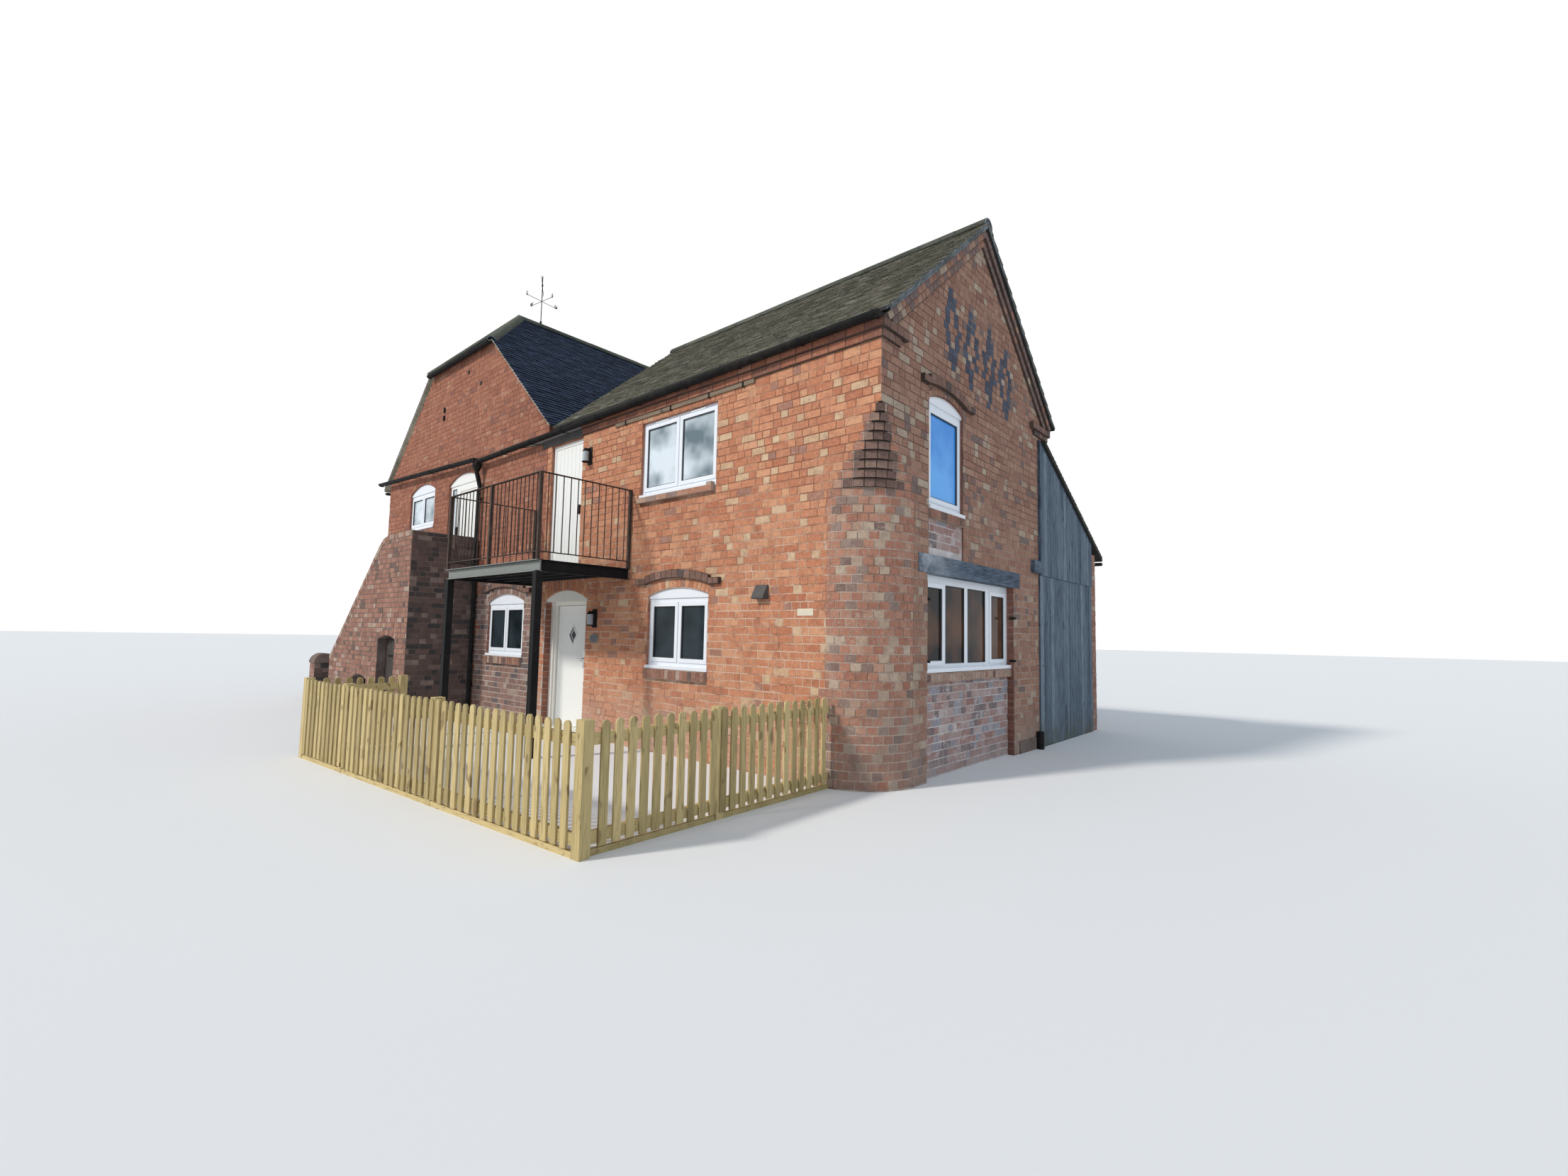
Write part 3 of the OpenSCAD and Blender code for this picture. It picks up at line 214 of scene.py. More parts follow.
# colours are linear; a clay's stops run from its darkest brick, past the tan ones, to the burnt ones
pine = [(0, 0.285, 0.215, 0.085), (0.5, 0.42, 0.325, 0.138), (1, 0.6, 0.465, 0.215)]
pineSap = {"dark": (0.19, 0.125, 0.048), "bump": 0.3, "grainy": 0.62, "knots": 0.645}
finish = {
    "red": clay("RedBrick", [
        (0, 0.43, 0.15, 0.078), (0.3, 0.52, 0.205, 0.108), (0.55, 0.58, 0.255, 0.138),
        (0.74, 0.62, 0.31, 0.175), (0.8, 0.57, 0.375, 0.225), (0.92, 0.63, 0.46, 0.295),
        (0.94, 0.38, 0.185, 0.13), (1, 0.32, 0.165, 0.125)], smear=(0.5, (0.66, 0.48, 0.37)),
        fade=(1.2, 3.0, 0.25), foot=(0.9, (0.47, 0.33, 0.27))),
    # the gable's brick is the front's brick made darker and browner: the darkening is painted shade, and the
    # browner mix is its own
    "gable": clay("GableBrickPartlyShaded", [
        (0, 0.25, 0.12, 0.082), (0.35, 0.33, 0.17, 0.118), (0.74, 0.395, 0.235, 0.165),
        (0.8, 0.4, 0.295, 0.215), (0.92, 0.46, 0.375, 0.285), (0.94, 0.205, 0.138, 0.125),
        (1, 0.16, 0.12, 0.115)], (0.165, 0.085, 0.062), (0.5, 0.375, 0.27), (0.42, (0.46, 0.37, 0.3)),
        fade=(1.5, 4.0, 0.5), foot=(0.7, (0.27, 0.22, 0.19))),
    "kiln": clay("KilnBrick", [
        (0, 0.255, 0.09, 0.052), (0.35, 0.33, 0.125, 0.072), (0.74, 0.38, 0.16, 0.098),
        (0.8, 0.375, 0.18, 0.115), (0.92, 0.39, 0.215, 0.145), (0.94, 0.24, 0.098, 0.068),
        (1, 0.195, 0.086, 0.064)], (0.19, 0.075, 0.05), (0.58, 0.31, 0.205), (0.5, (0.56, 0.36, 0.27)),
        (0.58, 0.66)),
    "kilnLow": clay("DampKilnBrick", [
        (0, 0.175, 0.105, 0.088), (0.35, 0.25, 0.145, 0.115), (0.74, 0.32, 0.19, 0.15),
        (0.8, 0.36, 0.26, 0.21), (0.92, 0.43, 0.34, 0.29), (0.94, 0.13, 0.105, 0.105),
        (1, 0.105, 0.092, 0.095)], (0.095, 0.06, 0.052), (0.4, 0.29, 0.23), (0.4, (0.42, 0.37, 0.34))),
    "pale": clay("PaleBrick", [
        (0, 0.285, 0.15, 0.13), (0.3, 0.365, 0.225, 0.2), (0.6, 0.42, 0.315, 0.3), (0.74, 0.5, 0.43, 0.41),
        (0.8, 0.31, 0.31, 0.345), (0.92, 0.265, 0.275, 0.315), (0.94, 0.2, 0.155, 0.155),
        (1, 0.16, 0.135, 0.14)], (0.25, 0.15, 0.13), (0.62, 0.52, 0.46), (0.7, (0.66, 0.57, 0.52)),
        (0.53, 0.64), foot=(0.3, (0.4, 0.31, 0.28))),
    "stair": clay("StairBrick", [
        (0, 0.235, 0.105, 0.075), (0.4, 0.32, 0.15, 0.105), (0.74, 0.385, 0.2, 0.14), (0.8, 0.4, 0.265, 0.2),
        (0.92, 0.45, 0.34, 0.27), (0.94, 0.17, 0.098, 0.08), (1, 0.12, 0.08, 0.07)],
        (0.11, 0.07, 0.058), (0.46, 0.33, 0.25), (0.4, (0.46, 0.37, 0.3)), foot=(0.7, (0.2, 0.18, 0.165))),
    # brick for the stair's east end faces: partly darker brick of its own, partly painted shade
    "stairDarkShaded": clay("StairBrickDarkAndShaded", [
        (0, 0.08, 0.056, 0.05), (0.7, 0.15, 0.098, 0.084), (0.8, 0.21, 0.155, 0.13), (0.92, 0.26, 0.2, 0.17),
        (0.94, 0.06, 0.051, 0.05), (1, 0.048, 0.044, 0.045)], (0.05, 0.041, 0.04), (0.24, 0.185, 0.155),
        mottle=0.45),
    "corner": clay("CornerBrick", [
        (0, 0.345, 0.14, 0.09), (0.3, 0.43, 0.195, 0.128), (0.5, 0.46, 0.265, 0.185),
        (0.58, 0.45, 0.325, 0.235), (0.74, 0.5, 0.395, 0.295), (0.78, 0.33, 0.255, 0.21),
        (0.9, 0.24, 0.16, 0.135), (1, 0.16, 0.105, 0.092)], (0.2, 0.11, 0.082), (0.56, 0.43, 0.33),
        (0.5, (0.54, 0.44, 0.36)), fade=(2.2, 3.6, 0.3), foot=(1.15, (0.215, 0.165, 0.14))),
    # dark brown headers on the corner's steps: partly the bricks' own colour, partly painted shade under each
    # overhang
    "step": clay("SteppedBrickDarkAndShaded", [(0, 0.11, 0.066, 0.056), (0.6, 0.2, 0.12, 0.096), (1, 0.29, 0.19, 0.145)],
                 (0.085, 0.055, 0.048), (0.36, 0.26, 0.21)),
    "darkClay": clay("DarkClay", [
        (0, 0.145, 0.082, 0.064), (0.4, 0.2, 0.112, 0.086), (0.74, 0.26, 0.15, 0.115),
        (0.8, 0.31, 0.22, 0.18), (0.92, 0.36, 0.28, 0.23), (0.94, 0.11, 0.08, 0.074),
        (1, 0.082, 0.066, 0.064)], (0.095, 0.06, 0.05), (0.36, 0.25, 0.19), mottle=0.4),
    "blue": clay("BlueHeader", [(0, 0.05, 0.062, 0.092), (1, 0.085, 0.105, 0.148)], (0.035, 0.042, 0.06),
                 (0.15, 0.165, 0.2), rough=0.8, mottle=0.35, spec=0.15),
    "moss": clay("MossyTile", [
        (0, 0.095, 0.088, 0.068), (0.4, 0.155, 0.142, 0.112), (0.8, 0.215, 0.196, 0.158),
        (1, 0.33, 0.305, 0.25)], (0.05, 0.05, 0.042), (0.36, 0.34, 0.3), (0.6, (0.12, 0.128, 0.068)),
        (0.46, 0.6), cloudy=0.5, dirty=0.5, mottle=0.75),
    "slate": clay("BlueTile", [(0, 0.007, 0.014, 0.033), (0.5, 0.014, 0.026, 0.056), (1, 0.03, 0.048, 0.09)],
                  (0.006, 0.01, 0.016), (0.04, 0.056, 0.09), (0.4, (0.016, 0.03, 0.03)), rough=0.7,
                  mottle=0.35, spec=0.1),
    "ridge": clay("RidgeTile", [(0, 0.045, 0.048, 0.04), (1, 0.115, 0.115, 0.095)], (0.035, 0.042, 0.028),
                  (0.21, 0.215, 0.175), (0.65, (0.115, 0.14, 0.075)), (0.5, 0.64)),
    "coreFront": mortar("FrontMortar", (0.64, 0.48, 0.36), (0.32, 0.165, 0.105), (0.46, 0.6),
                        (2.2, 3.5, (0.55, 0.34, 0.22), (0.27, 0.115, 0.07)),
                        ("Y", datum.y + reveal, 1, (0.44, 0.2, 0.13), (0.27, 0.12, 0.08))),
    "coreKiln": mortar("KilnMortar", (0.56, 0.5, 0.45), (0.34, 0.28, 0.25), (0.4, 0.62),
                       (2.2, 2.7, (0.38, 0.19, 0.13), (0.18, 0.072, 0.048)),
                       ("Y", datum.y + reveal, 1, (0.36, 0.15, 0.1), (0.2, 0.09, 0.065))),
    # darker than the front's mortar and reveal bricks: painted shade of the gable
    "coreGable": mortar("GableMortarShaded", (0.44, 0.36, 0.3), (0.215, 0.13, 0.1), (0.4, 0.62),
                        (2.4, 3.6, (0.33, 0.235, 0.185), (0.15, 0.088, 0.07)),
                        ("X", datum.x - reveal, -1, (0.28, 0.125, 0.09), (0.17, 0.078, 0.06))),
    "coreWest": mortar("WestMortar", (0.46, 0.32, 0.25), (0.36, 0.25, 0.2),
                       inside=("X", datum.x + kilnLeft + reveal, 1, (0.36, 0.15, 0.1), (0.22, 0.095, 0.07))),
    "coreBack": mortar("BackMortar", (0.46, 0.32, 0.25), (0.36, 0.25, 0.2),
                       inside=("Y", datum.y + kilnBack - reveal, -1, (0.36, 0.15, 0.1), (0.22, 0.095, 0.07))),
    "coreCorner": mortar("CornerMortar", (0.5, 0.405, 0.33), (0.25, 0.16, 0.122), (0.46, 0.6)),
    # near-black joints between the corner's steps, painted shade, and near-black step undersides, painted
    # shadow
    "stepJointShade": mortar("SteppedMortarPaintedShade", (0.105, 0.07, 0.058), (0.03, 0.024, 0.022)),
    "stepShadow": mortar("StepUndersidePaintedShadow", (0.022, 0.018, 0.016), (0.012, 0.01, 0.01)),
    "lime": mortar("LimeMortar", (0.46, 0.34, 0.27), (0.28, 0.18, 0.135)),
    "infillLime": mortar("WhiteLime", (0.66, 0.62, 0.6), (0.44, 0.39, 0.37)),
    "verge": mortar("VergeMortar", (0.5, 0.47, 0.38), (0.26, 0.25, 0.18)),
    "blueVerge": mortar("GreyVerge", (0.235, 0.285, 0.335), (0.06, 0.072, 0.088), (0.42, 0.56)),
    "darkLime": mortar("SootyMortar", (0.215, 0.165, 0.14), (0.105, 0.078, 0.068)),
    # near-black solid showing under the corbelled bands and hood bricks: painted shadow
    "eaveShadow": mortar("BandUndersidePaintedShadow", (0.125, 0.082, 0.066), (0.062, 0.044, 0.038)),
    "concrete": mortar("Concrete", (0.45, 0.44, 0.42), (0.34, 0.33, 0.31)),
    "underTile": mortar("UnderTile", (0.05, 0.048, 0.042), (0.03, 0.03, 0.028)),
    "stone": mortar("PaleStone", (0.72, 0.64, 0.5), (0.6, 0.52, 0.4)),
    "lead": paint("Lead", (0.06, 0.06, 0.06), (0.14, 0.135, 0.13), 0.75, 0.0, 0.3, spec=0.15),
    "white": paint("WhiteFrame", (0.8, 0.83, 0.87), (0.74, 0.76, 0.79), 0.28, 0.0, 0.02),
    "gasket": paint("GlazingGasket", (0.045, 0.047, 0.05), (0.08, 0.08, 0.08), 0.5, 0.0, 0.1),
    "cream": paint("CreamPaint", (0.78, 0.765, 0.7), (0.62, 0.59, 0.52), 0.5, 0.0, 0.1, (6, 6, 0.7)),
    "doorWhite": paint("DoorWhite", (0.86, 0.86, 0.82), (0.74, 0.73, 0.68), 0.38, 0.0, 0.04),
    "steel": paint("BalconySteel", (0.011, 0.0115, 0.013), (0.03, 0.027, 0.026), 0.62, 0.0, 0.2, spec=0.12),
    # pale grey: a painted sheen on the balcony frame's front faces, and the real grey rim of the house plate
    "greySteelAndSheen": paint("GreySteelAndPaintedSheen", (0.2, 0.212, 0.195), (0.28, 0.29, 0.27), 0.6, 0.0, 0.25, (1, 1, 8)),
    "iron": paint("BlackIron", (0.012, 0.012, 0.0125), (0.045, 0.04, 0.034), 0.68, 0.0, 0.3, spec=0.12),
    "rust": paint("RustyBar", (0.05, 0.034, 0.028), (0.125, 0.088, 0.068), 0.6, 0.0, 0.4, (3, 3, 1), 0.15),
    "chrome": paint("DoorChrome", (0.55, 0.56, 0.57), (0.38, 0.38, 0.38), 0.22, 0.9, 0.1),
    "vent": paint("VentHood", (0.075, 0.068, 0.066), (0.16, 0.15, 0.145), 0.6, 0.0, 0.2, spec=0.2),
    "greyPlate": paint("GreyPlate", (0.085, 0.09, 0.098), (0.2, 0.205, 0.21), 0.4, 0.0, 0.2),
    "pine": wood("GreenPine", pine, "z", **pineSap),
    "pineRail": wood("GreenPineRail", pine, "x", **pineSap),
    "boards": wood("GreyBoards", [(0, 0.05, 0.08, 0.115), (0.5, 0.09, 0.13, 0.175), (1, 0.19, 0.24, 0.285)],
                   "z", (0.016, 0.026, 0.04), 0.9, 0.9, (0.45, (0.07, 0.082, 0.062)), 1.0),
    "lintel": wood("HewnLintel", [(0, 0.065, 0.095, 0.135), (1, 0.165, 0.21, 0.265)], "y",
                   (0.012, 0.018, 0.027), 0.9, 1.0,
                   (datum.y + 1.75, (0.42, 0.45, 0.48), datum.y + 0.75, "Y"), 1.0),
    "plank": wood("DarkPlank", [(0, 0.03, 0.023, 0.02), (1, 0.07, 0.05, 0.04)], "z", (0.012, 0.01, 0.009)),
    "beam": wood("WeatheredPlate", [(0, 0.15, 0.105, 0.075), (1, 0.36, 0.27, 0.18)], "x",
                 (0.05, 0.04, 0.03), 0.9, 0.9, grainy=0.9),
    "floor": wood("FloorBoards", [(0, 0.36, 0.24, 0.14), (1, 0.44, 0.3, 0.18)], "x"),
    "glassLow": glass("DarkGlass", (0.006, 0.01, 0.013), (0.03, 0.042, 0.05), 1.22),
    # painted reflection, dark and brownish, on the gable's lower panes
    "glassWarmReflection": glass("GlassPaintedWarmReflection", (0.014, 0.014, 0.015), (0.115, 0.05, 0.028), 1.22),
    # painted reflection of a pale sky on the upper panes
    "glassSkyReflection": glass("GlassPaintedSkyReflection", (0.13, 0.18, 0.21), (0.7, 0.77, 0.82), 1.3),
    # painted reflection of a blue sky on the gable's upper pane
    "glassBlueReflection": glass("GlassPaintedBlueReflection", (0.045, 0.29, 0.78), (0.14, 0.46, 0.95), 1.25),
    "clearGlass": glass("LanternGlass", (0.3, 0.34, 0.36), (0.46, 0.5, 0.52)),
}
cadFinish = {
    "concrete": "ground_floor", "floor": "upper_floor", "coreCorner": "rounded_corner",
    "infillLime": "gable_infill", "coreFront": "range_front_wall_lower range_front_wall_upper",
    "coreGable": "gable_wall_lower gable_wall_upper",
    "coreKiln": "kiln_front_wall_lower kiln_front_wall_upper", "coreWest": "kiln_west_wall",
    "coreBack": "kiln_back_wall lean_to_wall",
    "lime": "range_back_wall range_west_gable kiln_east_wall sills",
    "eaveShadow": "corbel_courses hood_moulds", "underTile": "range_roof lean_to_roof kiln_roof",
    "blueVerge": "ridge_tiles", "boards": "lean_to_boards", "lintel": "gable_lintel",
    "cream": "front_door_frame", "white": "window_frames_ground window_frames_upper",
    "glassLow": "window_glass_ground", "glassSkyReflection": "window_glass_upper",
    "doorWhite": "upper_doors front_door", "steel": "balcony_frame", "rust": "balcony_railing",
    "darkLime": "stair_walls", "stair": "stair_steps", "plank": "store_door_frame store_door",
    "iron": "rainwater_goods lanterns vane_mast vane_pointer", "pine": "fence_front fence_right fence_left"}
for key, names in cadFinish.items():
    for name in names.split():
        nodes[name].data.materials.clear()
        nodes[name].data.materials.append(finish[key])
print("materials made:", len(finish))


def linked(name, data):
    obj = bpy.data.objects.new(name, data)
    scene.collection.objects.link(obj)
    return obj


def mounted(name, mesh, body="house"):
    obj = linked(name, mesh)
    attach(obj, body)
    return obj


def meshOf(name, verts, faces, *materials):
    mesh = bpy.data.meshes.new(name)
    mesh.from_pydata([tuple(v) for v in verts], [], faces)
    for material in materials:
        mesh.materials.append(material)
    return mesh


def piece(name, parts, key, body="house"):
    verts, faces = [], []
    for vs, fs in parts:
        faces += [tuple(len(verts) + i for i in f) for f in fs]
        verts += vs
    mounted(name, meshOf(name, verts, faces, finish[key]), body)


boxFaces = [(0, 2, 3, 1), (4, 5, 7, 6), (0, 1, 5, 4), (2, 6, 7, 3), (0, 4, 6, 2), (1, 3, 7, 5)]


# corners are given from the datum
def boxPart(low, high):
    verts = [at(x, y, z) for z in (low[2], high[2]) for y in (low[1], high[1]) for x in (low[0], high[0])]
    return verts, boxFaces


# an outline in x and z, counter-clockwise from the front, drawn out to the front
def prismPart(outline, origin, depth):
    low = [origin + Vector((a, 0, b)) for a, b in outline]
    count = len(outline)
    faces = [tuple(reversed(range(count))), tuple(range(count, 2 * count))]
    faces += [(i, (i + 1) % count, count + (i + 1) % count, count + i) for i in range(count)]
    return low + [p - inward * depth for p in low], faces


def tubePart(points, radius, sides=8):
    vs, fs = [], []
    pts = [at(*p) for p in points]
    last = len(pts) - 1
    for i, p in enumerate(pts):
        way = (pts[min(i + 1, last)] - pts[max(i - 1, 0)]).normalized()
        side = way.cross(upward)
        side = (side if side.length > 1e-3 else eastward).normalized()
        top = side.cross(way).normalized()
        for k in range(sides):
            a = 2 * pi * k / sides
            vs.append(p + side * cos(a) * radius + top * sin(a) * radius)
    for i in range(last):
        for k in range(sides):
            a, b = i * sides + k, i * sides + (k + 1) % sides
            fs.append((a, a + sides, b + sides, b))
    return vs, fs + [tuple(range(sides)), tuple(reversed(range(len(vs) - sides, len(vs))))]


# the solid's own mesh with other finishes on some faces; pick chooses by a face's middle and normal
def dressedCopy(node, name, keys, pick, nudge=None):
    mesh = nodes[node].data.copy()
    mesh.name = name
    work = bmesh.new()
    work.from_mesh(mesh)
    bmesh.ops.remove_doubles(work, verts=work.verts, dist=0.0001)
    if nudge:
        for v in work.verts:
            v.co += nudge(v.co - datum)
    work.to_mesh(mesh)
    work.free()
    mesh.materials.clear()
    for key in keys:
        mesh.materials.append(finish[key])
    for face in mesh.polygons:
        face.material_index = pick(face.center - datum, face.normal)
    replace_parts(mounted(name, mesh), node)


def unitObject(name, verts, faces):
    return bpy.data.objects.new(name, meshOf(name, verts, faces))


# a brick, tile or board of unit size: x is its length, y points out of the wall, z is its height
def unitBlock(name, insetX, insetZ):
    back = [(x, -0.5, z) for z in (-0.5, 0.5) for x in (-0.5, 0.5)]
    out = [(x * (1 - insetX), 0.5, z * (1 - insetZ)) for x, _, z in back]
    return unitObject(name, back[:2] + out[:2] + back[2:] + out[2:], boxFaces)


# half a pipe of unit length and radius lying along x, as ridge tiles are
def unitHalfRound(name, wall=0.14, sides=12):
    angles = [pi * k / sides for k in range(sides + 1)]
    verts = [(x, sin(a) * r, cos(a) * r) for x in (-0.5, 0.5) for r in (1.0, 1.0 - wall) for a in angles]
    n = sides + 1
    faces = []
    for k in range(sides):
        faces += [(k, k + 1, 2 * n + k + 1, 2 * n + k), (n + k, 3 * n + k, 3 * n + k + 1, n + k + 1),
                  (k, n + k, n + k + 1, k + 1), (2 * n + k, 2 * n + k + 1, 3 * n + k + 1, 3 * n + k)]
    faces += [(0, 2 * n, 3 * n, n), (n + sides, 3 * n + sides, 2 * n + sides, sides)]
    return unitObject(name, verts, faces)


# sets a piece on every point of Places, each with its own size and turn and a little random play
def layingTree():
    tree = bpy.data.node_groups.new("LayPieces", "GeometryNodeTree")
    for label, kind in (("Places", "Geometry"), ("Piece", "Object"), ("Finish", "Material"),
                        ("Turn jitter", "Float"), ("Size jitter", "Float"), ("Seed", "Int")):
        tree.interface.new_socket(label, in_out="INPUT", socket_type="NodeSocket" + kind)
    tree.interface.new_socket("Laid", in_out="OUTPUT", socket_type="NodeSocketGeometry")
    give = tree.nodes.new("NodeGroupInput").outputs

    def add(kind, feeds, out=0, **options):
        return addNode(tree, kind, feeds, out, **options)

    def loose(label, play, seedStep):
        own = add("GeometryNodeInputNamedAttribute", {"Name": label}, "Attribute", data_type="FLOAT_VECTOR")
        high = add("ShaderNodeVectorMath", {0: (1, 1, 1), "Scale": give[play]}, operation="SCALE")
        low = add("ShaderNodeVectorMath", {0: high, "Scale": -1}, operation="SCALE")
        seed = add("ShaderNodeMath", {0: give["Seed"], 1: seedStep})
        dice = add("FunctionNodeRandomValue", {"Min": low, "Max": high, "Seed": seed}, "Value",
                   data_type="FLOAT_VECTOR")
        return add("ShaderNodeVectorMath", {0: own, 1: dice})

    unit = add("GeometryNodeObjectInfo", {"Object": give["Piece"]}, "Geometry")
    turn = add("FunctionNodeEulerToRotation", {"Euler": loose("turn", "Turn jitter", 1)}, "Rotation")
    size = loose("size", "Size jitter", 2)
    spread = add("GeometryNodeInstanceOnPoints",
                 {"Points": give["Places"], "Instance": unit, "Rotation": turn, "Scale": size}, "Instances")
    real = add("GeometryNodeRealizeInstances", {"Geometry": spread}, "Geometry")
    coated = add("GeometryNodeSetMaterial", {"Geometry": real, "Material": give["Finish"]}, "Geometry")
    add("NodeGroupOutput", {"Laid": coated})
    return tree


laying = layingTree()
sockets = {s.name: s.identifier for s in laying.interface.items_tree if s.in_out == "INPUT"}
seeds = iter(range(11, 9999, 7))


# places: (centre, size, turn as a matrix, shade)
def lay(name, places, unit, key, turnJitter=0.005, sizeJitter=0.0015):
    mesh = meshOf(name + "Places", [p[0] for p in places], [])
    for label, kind, slot, rows in (
            ("size", "FLOAT_VECTOR", "vector", [c for p in places for c in p[1]]),
            ("turn", "FLOAT_VECTOR", "vector", [c for p in places for c in p[2].to_euler()]),
            ("shade", "FLOAT", "value", [p[3] for p in places])):
        mesh.attributes.new(label, kind, "POINT").data.foreach_set(slot, rows)
    holder = linked(name + "Holder", mesh)
    mod = holder.modifiers.new("Lay", "NODES")
    mod.node_group = laying
    for label, value in (("Piece", unit), ("Finish", finish[key]), ("Turn jitter", turnJitter),
                         ("Size jitter", sizeJitter), ("Seed", next(seeds))):
        mod[sockets[label]] = value
    graph = bpy.context.evaluated_depsgraph_get()
    made = bpy.data.meshes.new_from_object(holder.evaluated_get(graph), depsgraph=graph)
    bpy.data.objects.remove(holder)
    made.name = name
    return mounted(name, made)


brickUnit, tileUnit = unitBlock("BrickUnit", 0.012, 0.04), unitBlock("TileUnit", 0.0, 0.0)
boardUnit, halfRound = unitBlock("BoardUnit", 0.03, 0.002), unitHalfRound("HalfRoundUnit")

# brickwork: the courses are counted down from the top of the corbelled corner
bond = {"course": courseHigh, "anchor": 4.015, "stretcher": 0.228, "joint": 0.0105, "proud": 0.0024,
        "depth": 0.012, "headers": 0.34}
# openings: left, right, sill and springing, then rise, ring of bricks and depth of sill where they have them
openingRows = {
    "frontDoor": (-6.315, -5.14, 0.0, 2.045, 0.14, 0.225),
    "low": (-3.665, -2.47, 1.085, 2.045, 0.1, 0.12, 0.125),
    "small": (-8.305, -7.015, 1.1, 2.045, 0.138, 0.12, 0.125),
    "high": (-3.92, -2.39, 3.4, 4.465, 0, 0, 0.075),
    "plate": (-4.55, -1.76, 4.53, 4.7),
    "balcony": (-6.325, -5.41, 2.44, 4.56),
    "kiln": (-12.31, -11.0, 3.68, 4.5, 0.165, 0.118),
    "landing": (-10.29, -8.96, 2.47, 4.455, 0.168, 0.118),
    "gableLow": (0.965, 3.385, 1.17, 2.27, 0, 0, 1.17),
    "gableHigh": (0.985, 1.84, 2.99, 4.25, 0.095, 0.077, 0.512),
    "timberEnd": (4.03, 4.315, 2.54, 2.72),
    "store": (-10.22, -9.37, 0.0, 1.345, 0.07, 0.115),
    "kennel": (-11.56, -10.73, 0.0, 0.565, 0.082, 0.115),
    "backLow": (-11.0, -9.8, 1.085, 2.045, 0.1, 0.115),
    "backHigh": (-11.0, -9.8, 3.435, 4.39, 0.1, 0.115),
    "westLow": (2.975, 4.175, 1.085, 2.045, 0.1, 0.115),
    "westHigh": (2.975, 4.175, 3.435, 4.39, 0.1, 0.115),
    "lean": (-4.3, -3.1, 1.085, 2.045),
}
opening = {key: dict(zip(("left", "right", "sill", "spring", "rise", "ring", "under"), (*row, 0, 0, 0)))
           for key, row in openingRows.items()}
# the timber over the cart opening, and how far its ends run on
lintel = {"high": 0.208, "ears": (0.205, 0.19)}


# a brick's shade: now and then tan or burnt, and oftener so on a header
def shadeOf(dice, header, weights):
    roll = dice.random()
    if roll < weights[0] * (1.6 if header else 0.8):
        return dice.uniform(0.8, 0.92)
    if roll > 1 - weights[1] * (1.5 if header else 0.8):
        return dice.uniform(0.95, 1.0)
    return min(0.74, max(0.0, dice.gauss(0.4, 0.19)))


# free lengths of one course after the openings are taken out
def freeSpans(spans, cuts):
    for a, b in cuts:
        spans = [s for lo, hi in spans for s in ((lo, min(hi, a)), (max(lo, b), hi)) if s[1] - s[0] > 0.02]
    return spans


def arch(o):
    half = (o["right"] - o["left"]) / 2
    radius = (half * half + o["rise"] ** 2) / (2 * o["rise"])
    return (o["left"] + half, o["spring"] + o["rise"] - radius, radius)


def cutAt(key, z):
    o = opening[key]
    if z < o["sill"] - o["under"]:
        return None
    if z < o["spring"]:
        return (o["left"], o["right"])
    if o["rise"]:
        cx, cz, r = arch(o)
        r += o["ring"]
        if z < cz + r:
            skew = (o["right"] - o["left"]) / 2 * (z - cz) / (o["spring"] - cz) + 0.004
            half = min(sqrt(max(0, r * r - (z - cz) ** 2)), skew)
            return (cx - half, cx + half)
    elif key == "gableLow" and z < o["spring"] + lintel["high"]:
        return (o["left"] - lintel["ears"][0], o["right"] + lintel["ears"][1])
    return None


# how a brick is turned on a wall that faces outward
def wallTurn(outward):
    return Matrix((upward.cross(Vector(outward)) * -1, Vector(outward), upward)).transposed()


# a wall's face: the point that lies so far along it, up it and out of it, and the turn of its bricks
def frontAt(y):
    return (lambda u, z, out: at(u, y - out, z)), wallTurn((0, -1, 0))


def rightAt(x):
    return (lambda u, z, out: at(x + out, u, z)), wallTurn((1, 0, 0))


def backAt(y):
    return (lambda u, z, out: at(u, y + out, z)), wallTurn((0, 1, 0))


def leftAt(x):
    return (lambda u, z, out: at(x - out, u, z)), wallTurn((-1, 0, 0))


